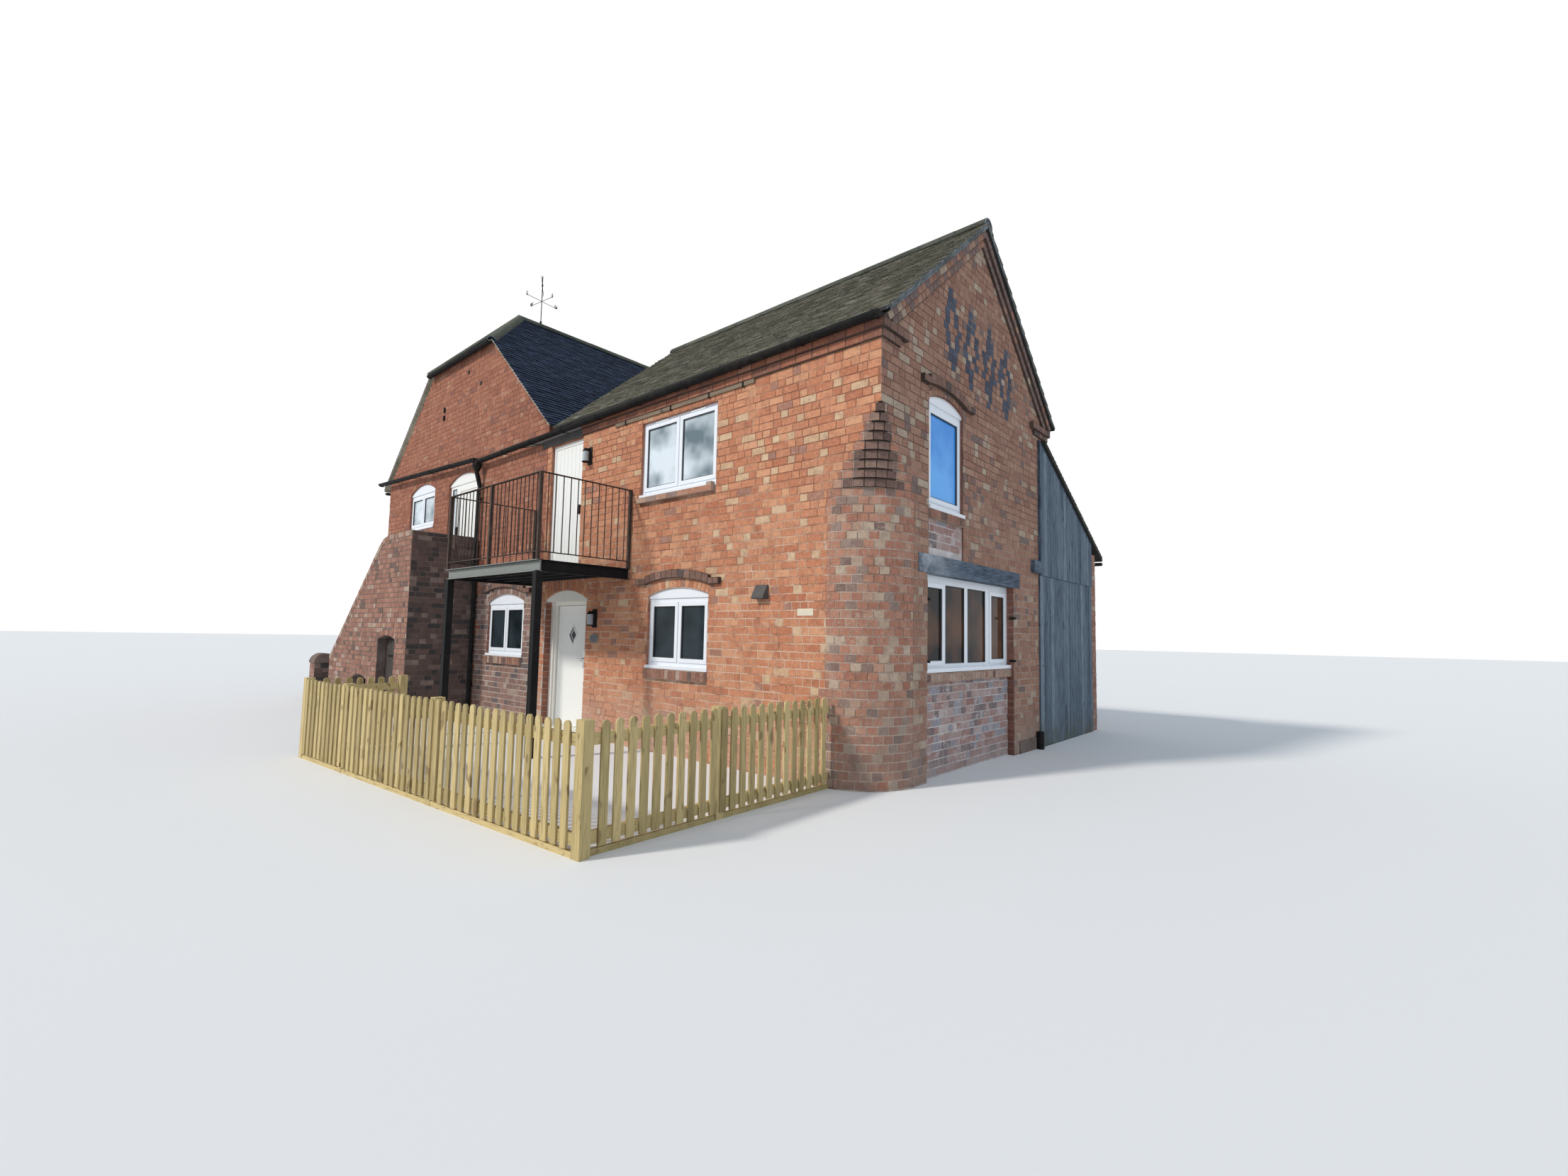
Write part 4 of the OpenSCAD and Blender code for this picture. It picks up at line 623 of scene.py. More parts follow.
# lays one face; special sets bricks aside, and they are handed back to be laid in another clay
def brickFace(name, key, zLow, zHigh, span, wall, openings="", weights=(0.05, 0.04), seed=1,
              headers=bond["headers"], special=None, jitter=0.006):
    dice = random.Random(seed)
    place, turn = wall
    places, marked = [], []
    row = ceil((zLow - bond["anchor"]) / bond["course"] - 1e-6)
    z1 = zLow
    while z1 < zHigh - 1e-6:
        z0 = bond["anchor"] + row * bond["course"]
        z1 = zHigh if zHigh - z0 < 1.4 * bond["course"] else z0 + bond["course"]
        zc, high = (z0 + z1) / 2, z1 - z0 - bond["joint"]
        ends = span(zc) if callable(span) else span
        if ends and ends[1] > ends[0]:
            spans = freeSpans([ends], [c for c in (cutAt(o, zc) for o in openings.split()) if c])
            u = ends[0] - bond["stretcher"] * (1.5 if row % 2 else 1) - 0.06 * (row % 3)
            header = False
            while u < ends[1]:
                share = headers(u, zc) if callable(headers) else headers
                header = share >= 1 or dice.random() < share * (0.65 if header else 1.35)
                length = bond["stretcher"] * (0.5 if header else 1) + dice.uniform(-0.007, 0.007)
                for a, b in spans:
                    lo, hi = max(a, u), min(b, u + length - bond["joint"])
                    if hi - lo > 0.03:
                        mid = (lo + hi) / 2
                        some = weights(mid, zc) if callable(weights) else weights
                        tone = shadeOf(dice, header or hi - lo < 0.13, some)
                        lift = bond["proud"] - bond["depth"] / 2 + dice.uniform(-0.001, 0.0022)
                        one = (place(mid, zc, lift), (hi - lo, bond["depth"], high), turn, tone)
                        (marked if special and special(mid, zc) else places).append(one)
                u += length
        row += 1
    lay(name, places, brickUnit, key, jitter)
    return marked


pitch = {"range": radians(41), "kiln": radians(43), "hip": radians(47), "lean": radians(27)}
roof = {"ridgeZ": 6.98, "mid": 2.36, "slope": tan(pitch["range"]), "tile": 0.0928, "plate": 4.77,
        "leanTop": 4.475, "kilnZ": 8.38, "kilnMid": -10.025, "kilnSlope": tan(pitch["kiln"]),
        "kilnTile": 0.0957, "hipZ": 7.13, "hipSlope": tan(pitch["hip"]), "verge": 0.07,
        "rangeEnds": (-6.2, 0.1082), "leanEnds": (kilnRight, 0.08), "rangeRun": 2.44, "leanRun": 2.7,
        "kilnRuns": (3.675, 3.805)}
# the corner is round below and steps out course by course to a square
corner = {"radius": 0.66, "step": 0.066, "foot": 3.105, "square": 3.924, "darkAndShaded": 3.05, "header": 0.117,
          "steps": 9, "courses": (-44, -1),
          "shades": ((0.67, 0.0, 0.46), (0.86, 0.5, 0.74), (1, 0.78, 1.0))}


def cornerRadius(z):
    if z >= corner["square"]:
        return 0.0
    risen = floor((z - corner["foot"]) / bond["course"])
    return corner["radius"] if z < corner["foot"] else corner["step"] * (corner["steps"] - risen)


def gableSpan(z):
    half = (roof["ridgeZ"] - roof["tile"] - 0.1 - z) / roof["slope"]
    low = cornerRadius(z)
    if z < roof["plate"]:
        return (low, rangeBack)
    return (max(low, roof["mid"] - half), min(rangeBack, roof["mid"] + half)) if half > 0.05 else None


def kilnSpan(z):
    half = (roof["kilnZ"] - roof["kilnTile"] - 0.02 - z) / roof["kilnSlope"]
    mid = roof["kilnMid"]
    return (max(kilnLeft, mid - half), min(kilnRight, mid + half)) if half > 0.05 else None


# four tall lozenges of blue headers high on the gable
lozenges = {"y": (1.55, 2.06, 2.6, 3.12), "z": (5.22, 5.16, 5.1, 5.04), "half": 0.17, "high": 0.44,
            "line": 0.062}


def lozenge(y, z):
    for yc, zc in zip(lozenges["y"], lozenges["z"]):
        reach = lozenges["half"] * (1 - abs(z - zc) / lozenges["high"])
        if reach > -0.03 and abs(abs(y - yc) - reach) < lozenges["line"]:
            return True
    return False


def frontHeaders(x, z):
    return 0.62 if x > -2.2 else 0.42


def gableHeaders(y, z):
    near = any(abs(z - zc) < lozenges["high"] + 0.05 for zc in lozenges["z"])
    return 1 if near and lozenges["y"][0] - 0.35 < y < lozenges["y"][-1] + 0.3 else 0.55


# the wall beside the stair stayed damp: its bricks are dark with pale joints
damp = {"left": -8.9, "sway": (0.25, 9), "top": 2.42, "swell": (0.1, 5)}


def dampPart(x, z):
    (sway, often), (swell, wide) = damp["sway"], damp["swell"]
    return x > damp["left"] + sway * sin(often * z) and z < damp["top"] + swell * sin(wide * x)


# how often a brick is tan or burnt, by its place
def frontWeights(x, z):
    return (0.13 if (-2.4 < x < -0.7 and 2.4 < z < 4.0) or x > -1.3 and z < 3.2 else 0.035, 0.03)


def gableWeights(y, z):
    return (0.13 if y < 1.2 and z > 2.3 else 0.08, 0.06)


def kilnWeights(x, z):
    return (0.12, 0.15) if dampPart(x, z) else (0.035, 0.04)


# the height of each wall's bricks, and where the ones above another roof begin
wallTop = {"range": 4.588, "gable": 6.8, "kiln": 7.02, "kilnSide": 4.92, "rangeBack": 4.74, "lean": 3.09}
wallFoot = {"kilnSide": 2.9, "rangeBack": 4.38}
brickFace("bricksFrontRange", "red", 0.0, wallTop["range"], lambda z: (kilnRight, -cornerRadius(z)),
          frontAt(0), "frontDoor low high balcony plate", frontWeights, 3, frontHeaders)
blueHeaders = brickFace("bricksGable", "gable", 0.0, wallTop["gable"], gableSpan, rightAt(0),
                        "gableLow gableHigh timberEnd", gableWeights, 5, gableHeaders, lozenge, 0.008)
lay("lozengeHeaders", blueHeaders, brickUnit, "blue")
dampBricks = brickFace("bricksKilnFront", "kiln", 0.0, wallTop["kiln"], kilnSpan, frontAt(0),
                       "frontDoor small kiln landing", kilnWeights, 7, special=dampPart)
lay("bricksDamp", dampBricks, brickUnit, "kilnLow")
brickFace("bricksKilnBack", "kiln", 0.0, wallTop["kiln"], kilnSpan, backAt(kilnBack),
          "backLow backHigh", seed=9)
brickFace("bricksKilnWest", "kiln", 0.0, wallTop["kilnSide"], (0, kilnBack), leftAt(kilnLeft),
          "westLow westHigh", seed=13)
brickFace("bricksKilnEast", "kiln", wallFoot["kilnSide"], wallTop["kilnSide"], (rangeBack, kilnBack),
          rightAt(kilnRight), seed=14)
brickFace("bricksRangeBack", "gable", wallFoot["rangeBack"], wallTop["rangeBack"],
          (roof["rangeEnds"][0], 0.0), backAt(rangeBack), seed=16)
brickFace("bricksLeanTo", "red", 0.0, wallTop["lean"], (kilnRight, 0), backAt(kilnBack), "lean",
          (0.07, 0.04), 15)
brickFace("bricksLeanToPier", "gable", 0.0, wallTop["lean"], (6.84, kilnBack), rightAt(0), "",
          (0.07, 0.04), 17)
print("walls laid")


# the corner's mortar: flat parts go with the wall beside them; between the steps the joints are near-black,
# painted shade, and the step undersides near-black, painted shadow
def cornerFinish(c, n):
    if c.z > 2 and n.z < -0.9:
        return 4
    if abs(n.y) > 0.99 and abs(c.y) < 0.001:
        return 1
    if n.x > 0.99 and abs(c.x) < 0.001:
        return 2
    middle = abs(n.z) < 0.5 and -0.45 < c.x + c.y < 0.45 and abs(n.x) < 0.92 and abs(n.y) < 0.92
    return 3 if c.z > 3.1 and middle else 0


# header bricks round the corner, each course to its own radius
def cornerBricks():
    dice = random.Random(21)
    places, stepped = [], []
    for row in range(*corner["courses"]):
        z0 = bond["anchor"] + row * bond["course"]
        zc = z0 + bond["course"] / 2
        radius = cornerRadius(zc)
        arc = pi / 2 * radius
        count = max(1, round(arc / corner["header"]))
        shift = 0.5 if row % 2 and count > 3 else 0
        for k in range(count + (1 if shift else 0)):
            lo, hi = max(0, (k - shift) / count), min(1, (k + 1 - shift) / count)
            if (hi - lo) * arc < 0.03:
                continue
            a = pi / 2 * (lo + hi) / 2
            outward = Vector((sin(a), -cos(a), 0))
            lift = bond["proud"] - bond["depth"] / 2 + dice.uniform(-0.001, 0.002)
            centre = at(-radius, radius, zc) + outward * (radius + lift)
            roll = dice.random()
            # courses above this height sit down to the step's edge, and most middle bricks are laid dark:
            # partly their own colour, partly painted shade
            darkAndShaded = z0 > corner["darkAndShaded"]
            step = darkAndShaded and roll < 0.85 and abs((lo + hi) / 2 - 0.5) < 0.34
            if darkAndShaded:
                centre.z -= bond["joint"] / 2
                roll = min(roll, 0.66)
            low, high = (0.0, 1.0) if step else next(s[1:] for s in corner["shades"] if roll < s[0])
            size = ((hi - lo) * arc - bond["joint"], bond["depth"], bond["course"] - bond["joint"])
            tone = dice.uniform(low, high)
            (stepped if step else places).append((centre, size, wallTurn(outward), tone))
    lay("bricksCorner", places, brickUnit, "corner", 0.008)
    lay("bricksSteps", stepped, brickUnit, "step", 0.008)
    dressedCopy("rounded_corner", "cornerMortar",
                ["coreCorner", "coreFront", "coreGable", "stepJointShade", "stepShadow"], cornerFinish)


cornerBricks()


trim = {"depth": 0.014, "joint": 0.009, "bed": 0.008, "proud": 0.003}


# a row of bricks between two points: out is the way it faces, and they stand square to the row
def rowOf(start, end, out, high, step, dice, weights=(0.05, 0.2), proud=trim["proud"]):
    start, end, out = Vector(start), Vector(end), Vector(out)
    way = end - start
    length = way.length
    way.normalize()
    across = way.cross(out)
    axis = way if across.z > 0 or (abs(across.z) < 1e-6 and across.y > 0) else -way
    turn = Matrix((axis, out, axis.cross(out))).transposed()
    count = max(1, round(length / step))
    return [(datum + start + way * (length * (k + 0.5) / count)
             + out * (proud - trim["depth"] / 2 + dice.uniform(-0.001, 0.002)),
             (length / count - trim["joint"], trim["depth"], high - trim["joint"]), turn,
             shadeOf(dice, True, weights))
            for k in range(count)]


def rowsOf(name, key, seed, jobs, jitter=0.006):
    dice = random.Random(seed)
    lay(name, [p for job in jobs for p in rowOf(*job[:5], dice, *job[5:])], brickUnit, key, jitter)


# arcs of bricks: round an opening's own arch, or on the flatter circle of the hood over it
def arcOf(centre, inner, depth, ends, wall, step, proud, dice, weights):
    (cx, cz), (place, turn) = centre, wall
    mid = inner + depth / 2
    lo, hi = (asin(max(-1, min(1, w / mid))) for w in ends)
    count = max(3, round((hi - lo) * mid / step))
    made = []
    for k in range(count):
        a = lo + (k + 0.5) * (hi - lo) / count
        tilt = Matrix.Rotation(a, 3, "Y") if abs(turn[1][1]) > 0.5 else Matrix.Rotation(-a, 3, "X")
        out = proud - trim["depth"] / 2 + dice.uniform(-0.001, 0.0015)
        spot = place(cx + mid * sin(a), cz + mid * cos(a), out)
        size = ((hi - lo) * mid / count - trim["joint"], trim["depth"], depth - trim["bed"])
        made.append((spot, size, tilt @ turn, shadeOf(dice, True, weights)))
    return made


def ringOf(key, wall, dice, weights):
    o = opening[key]
    cx, cz, r = arch(o)
    reach = (o["right"] - o["left"]) / 2 * (r + o["ring"] / 2) / r
    return arcOf((cx, cz), r + 0.003, o["ring"] - 0.006, (-reach, reach), wall, 0.078, 0.005, dice, weights)


# hoods: crown, radius, depth, lean of the circle, and how far each end block runs on
hoods = {"low": (2.271, 2.4, 0.104, -0.06, 0.23, 0.19), "small": (2.305, 2.445, 0.104, -0.064, 0.19, 0.215),
         "gableHigh": (4.422, 2.07, 0.115, -0.11, 0.165, 0.215)}
hoodBrick = {"proud": 0.052, "pitch": 0.118, "block": 0.115, "high": 0.08, "weights": (0.02, 0.1),
             "lap": 0.025, "rise": 0.032}


def hoodOf(key, wall, way, out, dice):
    o = opening[key]
    crown, radius, depth, lean, left, right = hoods[key]
    mid, half = (o["left"] + o["right"]) / 2, (o["right"] - o["left"]) / 2 + hoodBrick["lap"]
    centre = (mid + lean, crown - radius)
    made = arcOf(centre, radius, depth, (-half - lean, half - lean), wall, hoodBrick["pitch"],
                 hoodBrick["proud"], dice, hoodBrick["weights"])
    for side, run in ((-1, left), (1, right)):
        level = centre[1] + sqrt(radius ** 2 - (side * half - lean) ** 2) + hoodBrick["rise"]
        made += rowOf(way(mid + side * half, level), way(mid + side * (half + run), level), out,
                      hoodBrick["high"], hoodBrick["block"], dice, hoodBrick["weights"], hoodBrick["proud"])
    return made


front, right = (0, -1, 0), (1, 0, 0)
archDice = random.Random(31)
for name, key, names, wall, weights in (
        ("archBricksRange", "red", "low frontDoor", frontAt(0), (0.05, 0.08)),
        ("archBricksGable", "gable", "gableHigh", rightAt(0), (0.05, 0.1)),
        ("archBricksKiln", "kiln", "kiln landing", frontAt(0), (0.03, 0.06)),
        ("archBricksSmall", "kilnLow", "small", frontAt(0), (0.08, 0.1)),
        ("archBricksBack", "kiln", "backLow backHigh", backAt(kilnBack), (0.05, 0.1)),
        ("archBricksWest", "kiln", "westLow westHigh", leftAt(kilnLeft), (0.05, 0.1)),
        ("archBricksStair", "stair", "store kennel", frontAt(stairFace), (0.12, 0.1))):
    lay(name, [p for k in names.split() for p in ringOf(k, wall, archDice, weights)], brickUnit, key)
onFront, onGable = (frontAt(0), lambda u, z: (u, 0, z), front), (rightAt(0), lambda u, z: (0, u, z), right)
lay("hoodBricks", [p for key, wall in (("low", onFront), ("small", onFront), ("gableHigh", onGable))
                   for p in hoodOf(key, *wall, archDice)], brickUnit, "darkClay")

# corbelled courses under the eaves, raking bands up the gable and the sills, all with their long sides out
band = {"lower": 4.6335, "upper": 4.7245, "first": roof["tile"] + 0.0596, "second": roof["tile"] + 0.1789}


def rake(y, drop, x):
    return (x, y, roof["ridgeZ"] - drop - abs(y - roof["mid"]) * roof["slope"])


rowsOf("bandBricksFront", "kiln", 40, [
    ((-5.41, -out, z), (out - 0.004, -out, z), front, courseHigh, bond["stretcher"], (0.04, 0.1))
    for out, z in ((0.03, band["lower"]), (0.06, band["upper"]))], 0.004)
rowsOf("kneelerBricks", "darkClay", 41, [
    ((x, y0, z), (x, y1, z), right, high, 0.118) for x, y0, y1, z, high in (
        (0.03, -0.026, 0.33, band["lower"], courseHigh), (0.06, -0.056, 0.45, band["upper"], courseHigh),
        (0.03, 4.13, 4.68, 4.6415, 0.075), (0.06, 4.01, 4.708, band["upper"], courseHigh))], 0.004)
rowsOf("bandBricks", "gable", 42, [
    (rake(y, band[drop], x), rake(roof["mid"], band[drop], x), right, 0.09, 0.112, weights)
    for drop, x, low, top in (("first", 0.066, 0.02, 4.7), ("second", 0.033, 0.16, 4.56))
    for y, weights in ((low, (0.08, 0.3)), (top, (0.02, 0.6)))], 0.004)
rowsOf("sillBricks", "stair", 43, [
    ((o["left"], -0.045, o["sill"] - 0.0625), (o["right"], -0.045, o["sill"] - 0.0625), front, 0.125, 0.076,
     (0.1, 0.05)) for o in (opening["low"], opening["small"])])
rowsOf("sillBricksHigh", "corner", 45, [
    ((-3.93, -0.06, 3.3625), (-2.415, -0.06, 3.3625), front, 0.075, bond["stretcher"], (0.05, 0.1))])
rowsOf("sillBricksGable", "stair", 47,
    [((0.03, 0.985, 2.94), (0.03, 1.84, 2.94), right, 0.1, 0.08, (0.1, 0.2))])
rowsOf("sillBricksCart", "stair", 48,
    [((-0.041, 0.965, 1.11), (-0.041, 3.385, 1.11), right, 0.092, 0.076, (0.5, 0.05))])

# infill under the gable windows, set back in the old openings
brickFace("bricksInfill", "pale", 0.0, 1.058, (0.965, 3.385), rightAt(-0.095), "",
          (0.2, 0.14), 49, 0.75, jitter=0.012)
brickFace("bricksInfillHigh", "pale", 2.478, 2.89, (0.985, 1.84), rightAt(-0.02), "",
          (0.2, 0.14), 51, 0.5, jitter=0.01)

# the stair's front wall follows the flight, and its top is a course of bricks on edge
parapet = [(-13.05, 0.945), (-10.41, 3.115), (-10.21, 3.235), (-9.95, 3.28), (-8.91, 3.28)]
coping = {"drop": 0.052, "high": 0.105, "pitch": 0.075, "cover": 0.055, "setBack": 0.11}


def stairSpan(z):
    z += coping["cover"]
    if z < parapet[0][1]:
        return (parapet[0][0], stairEnd)
    for (x0, z0), (x1, z1) in zip(parapet, parapet[1:4]):
        if z < z1:
            return (x0 + (x1 - x0) * (z - z0) / (z1 - z0) + coping["setBack"], stairEnd)
    return None


brickFace("bricksStairFront", "stair", 0.0, 3.175, stairSpan, frontAt(stairFace), "store kennel",
          (0.07, 0.08), 53, 0.5, jitter=0.01)
brickFace("bricksStairEnd", "stairDarkShaded", 0.0, 3.26, (stairFace, 0.0), rightAt(stairEnd), "",
          (0.12, 0.2), 55, 0.5, jitter=0.008)
brickFace("bricksPierEnd", "stairDarkShaded", 0.0, 0.77, (-1.27, -0.9), rightAt(kilnLeft), "", (0.05, 0.2), 57, 0.5)
brickFace("bricksPierFront", "stair", 0.0, 0.77, (-13.95, kilnLeft), frontAt(-1.27), "", (0.1, 0.1), 59, 0.5)
rowsOf("copingBricks", "stair", 61, [
    ((x0, stairFace, z0 - coping["drop"]), (x1, stairFace, z1 - coping["drop"]), front, coping["high"],
     coping["pitch"], (0.35, 0.02), 0.005)
    for (x0, z0), (x1, z1) in zip(parapet, parapet[1:])])
print("brickwork done")

# roofs: each course of tiles lies on one step of the roof's saw-toothed slope
tile = {"gauge": 0.1, "lap": 0.013, "thick": 0.012, "wide": 0.166, "gap": 0.003, "tail": 0.004, "head": 0.012,
        "lift": 0.003}


def layTiles(name, key, slopes, seed):
    dice = random.Random(seed)
    places = []
    for top, along, down, length, ends in slopes:
        out = along.cross(down)
        axis = along if out.z > 0 else -along
        out = out if out.z > 0 else -out
        count = round(length / tile["gauge"])
        step = length / count
        tilt = atan(tile["lap"] / step)
        tail = down * cos(tilt) + out * sin(tilt)
        turn = Matrix((axis, axis.cross(tail), -tail)).transposed()
        for row in range(count):
            d = (row + 0.5) * step
            span = ends(d)
            if not span:
                continue
            u = span[0] - (tile["wide"] / 2 if row % 2 else 0) - dice.uniform(0, 0.012)
            sag = dice.uniform(-0.002, 0.002)
            while u < span[1]:
                lo, hi = max(span[0], u), min(span[1], u + tile["wide"] - tile["gap"])
                u += tile["wide"]
                if hi - lo < 0.02:
                    continue
                lift = tile["lift"] - (tile["lap"] + tile["thick"]) / 2 + sag + dice.uniform(-0.002, 0.0045)
                reach = d + (tile["tail"] - tile["head"]) / 2
                centre = top + along * ((lo + hi) / 2) + down * reach + out * lift
                high = step + tile["tail"] + tile["head"] + dice.uniform(-0.002, 0.002)
                places.append((centre, (hi - lo, tile["thick"], high), turn, dice.random()))
    lay(name, places, tileUnit, key, 0.01, 0.0006)


def fall(angle, x, y):
    return Vector((x * cos(angle), y * cos(angle), -sin(angle)))


hipRun = (roof["kilnZ"] - roof["hipZ"]) / roof["hipSlope"]


def kilnEnds(d):
    short = hipRun - d * sin(pitch["kiln"]) / roof["hipSlope"]
    return (max(-roof["verge"], short), min(kilnBack + roof["verge"], kilnBack - short))


def hipEnds(d):
    half = d * sin(pitch["hip"]) / roof["kilnSlope"]
    return (-half, half) if half > 0.05 else None


rangeLen, hipLen = roof["rangeRun"] / cos(pitch["range"]), (hipRun + roof["verge"]) / cos(pitch["hip"])
layTiles("tilesRange", "moss", [
    (at(0, roof["mid"], roof["ridgeZ"]), eastward, fall(pitch["range"], 0, side), rangeLen,
     lambda d: roof["rangeEnds"]) for side in (-1, 1)], 61)
layTiles("tilesKiln", "slate", [
    (at(roof["kilnMid"], 0, roof["kilnZ"]), inward, fall(pitch["kiln"], side, 0),
     run / cos(pitch["kiln"]), kilnEnds) for side, run in zip((1, -1), roof["kilnRuns"])] + [
    (at(roof["kilnMid"], y, roof["kilnZ"]), eastward, fall(pitch["hip"], 0, side), hipLen, hipEnds)
    for y, side in ((hipRun, -1), (kilnBack - hipRun, 1))], 63)
layTiles("tilesLeanTo", "moss", [(at(0, rangeBack, roof["leanTop"]), eastward, fall(pitch["lean"], 0, 1),
                                  roof["leanRun"] / cos(pitch["lean"]), lambda d: roof["leanEnds"])], 65)

# the ends of the range's tiles, two to a course, show as a thin edge up the gable
vergeEnd = {"x": 0.1057, "gauge": 0.05, "depth": (0.05, 0.022), "size": (0.078, 0.005, 0.013)}


def vergeEnds():
    made, gauge = [], vergeEnd["gauge"]
    for side in (-1, 1):
        down, dice = fall(pitch["range"], 0, side), random.Random(66 + side)
        lift = Vector((0, -side * down.z, side * down.y))
        turn = Matrix((down * -side, eastward, lift)).transposed()
        for row in range(int(rangeLen / gauge)):
            spot = at(vergeEnd["x"], roof["mid"], roof["ridgeZ"]) + down * (gauge * row + gauge)
            made.append((spot - lift * vergeEnd["depth"][row % 2], vergeEnd["size"], turn, dice.random()))
    return made


lay("vergeTileEnds", vergeEnds(), tileUnit, "moss", 0.02, 0.001)
dressedCopy("range_roof", "rangeRoofShell", ["underTile", "blueVerge"],
            lambda c, n: int(c.x > 0.09 and n.x > 0.9),
            lambda v: Vector((-0.006 if v.x > 0.109 else 0, 0, 0)))
dressedCopy("kiln_roof", "kilnRoofShell", ["underTile", "verge"],
            lambda c, n: int(abs(n.y) > 0.95 or (n.z < -0.2 and n.x > 0.2 and c.x < roof["kilnMid"])),
            lambda v: Vector((0, 0.006 if v.y < -0.069 else -0.006 if v.y > 7.219 else 0, 0)))


# half-round tiles along the ridges and down the hips
def ridgeTiles(name, runs, seed):
    dice = random.Random(seed)
    places = []
    for start, end, radius in runs:
        a, b = at(*start), at(*end)
        way = (b - a).normalized()
        out = (upward - way * way.z).normalized()
        count = round((b - a).length / ridge["length"])
        turn = Matrix((way, out, way.cross(out))).transposed()
        step = (b - a).length / count
        for k in range(count):
            places.append((a + way * (step * (k + 0.5)), (step - ridge["gap"], radius, radius), turn,
                           dice.random()))
    lay(name, places, halfRound, "ridge", 0.004, 0.0015)


ridge = {"radius": 0.114, "length": 0.455, "gap": 0.007, "rangeZ": 6.896, "kilnZ": 8.292, "run": 0.06,
         "hipRadius": 0.096, "hipTop": 8.318, "hipFoot": 6.993}
mid = roof["kilnMid"]
hipFoot = (roof["kilnZ"] - (roof["hipZ"] - roof["verge"] * roof["hipSlope"])) / roof["kilnSlope"]
rangeCrest = [(x, roof["mid"], ridge["rangeZ"]) for x in roof["rangeEnds"]]
kilnCrest = [(mid, y, ridge["kilnZ"]) for y in (hipRun - ridge["run"], kilnBack + ridge["run"] - hipRun)]
hips = [((mid + side * hipFoot, y0, ridge["hipFoot"]), (mid, y1, ridge["hipTop"]), ridge["hipRadius"])
        for side in (-1, 1)
        for y0, y1 in ((-roof["verge"], hipRun), (kilnBack + roof["verge"], kilnBack - hipRun))]
ridgeTiles("ridgeRange", [(*rangeCrest, ridge["radius"])], 67)
ridgeTiles("ridgeKiln", [(*kilnCrest, ridge["radius"]), *hips], 69)
print("roofs tiled")

# two tiers of boards close the lean-to's end, the upper one over the lower
leanBoard = {"from": 4.32, "to": 6.83, "wide": (0.135, 0.165), "thick": 0.022, "foot": 0.015,
             "join": (2.525, 2.545)}


def leanBoards():
    dice = random.Random(71)
    places = []
    y, foot, (under, over) = (leanBoard[key] for key in ("from", "foot", "join"))
    while y < leanBoard["to"] - 0.03:
        wide = min(dice.uniform(*leanBoard["wide"]), leanBoard["to"] - y)
        top = roof["leanTop"] - tan(pitch["lean"]) * (y + wide - rangeBack) - 0.085
        for lo, hi, out in ((foot, over, 0.0), (under, top, 0.013)):
            spot = at(0.016 + out + dice.uniform(-0.002, 0.003), y + wide / 2, (lo + hi) / 2)
            size = (wide - dice.uniform(0.004, 0.008), leanBoard["thick"], hi - lo)
            places.append((spot, size, wallTurn(right), dice.random()))
        y += wide
    lay("boardsLeanTo", places, boardUnit, "boards", 0.0015)


leanBoards()

fence = {"height": 0.93, "foot": 0.062, "pitch": 0.12, "wide": 0.07, "thick": 0.02, "railThick": 0.038,
         "railHigh": 0.085, "rails": (0.1275, 0.8005), "post": 0.09, "postHigh": 0.94,
         "gravel": (0.032, 0.045)}
# each run's ends, and where its posts stand as parts of its length
fenceRuns = {"fence_front": ((-5.94, -3.24), (-0.52, -2.94), (0, 0.225, 0.6, 1)),
             "fence_right": ((-0.52, -2.84), (-0.6, 0.0), (0.45,)),
             "fence_left": ((-5.94, -2.19), (-5.94, -3.14), (0,))}


def picketUnit():
    cap = fence["wide"] / 2 / (fence["height"] - fence["foot"])
    outline = [(-0.5, -0.5), (0.5, -0.5)]
    outline += [(0.5 * cos(radians(a)), 0.5 - cap + cap * sin(radians(a))) for a in range(0, 181, 20)]
    return unitObject("PicketUnit", *prismPart(outline, inward * 0.5, 1.0))


def fenceRun(node, run, seed, picket):
    (x0, y0), (x1, y1), posts = run
    dice = random.Random(seed)
    start, way = at(x0, y0, 0), Vector((x1 - x0, y1 - y0, 0))
    length = way.length
    way.normalize()
    inner = Vector((-way.y, way.x, 0))
    turn = Matrix((way, inner, upward)).transposed()

    def here(a, b, z):
        return start + way * a + inner * b + Vector((0, 0, z))

    count = int((length - 0.06) / fence["pitch"])
    first = (length - (count - 1) * fence["pitch"]) / 2
    middle = (fence["foot"] + fence["height"]) / 2
    size = (fence["wide"], fence["thick"] - 0.003, fence["height"] - fence["foot"])
    pickets = []
    for i in range(count):
        rise = dice.uniform(-0.004, 0.004)
        spot = here(first + i * fence["pitch"], -fence["thick"] / 2 + 0.001, middle + rise)
        pickets.append((spot, size, turn, dice.random()))
    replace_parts(lay(node + "_pickets", pickets, picket, "pine", 0.003, 0.001), node)
    rails = [(fence["railThick"], fence["railHigh"], z) for z in fence["rails"]]
    rails.append((*fence["gravel"], fence["gravel"][1] / 2))
    lay(node + "_rails", [(here(length / 2, thick / 2, z), (length, thick, high), turn, dice.random())
                          for thick, high, z in rails], boardUnit, "pineRail", 0.0, 0.0)
    size = (fence["post"], fence["post"], fence["postHigh"])
    lay(node + "_posts", [(here(p * length, 0.041, fence["postHigh"] / 2), size, turn, dice.uniform(0.5, 1.0))
                          for p in posts], boardUnit, "pine", 0.0, 0.0)


picketShape = picketUnit()
for i, (node, run) in enumerate(fenceRuns.items()):
    fenceRun(node, run, 81 + i, picketShape)
print("fence set")


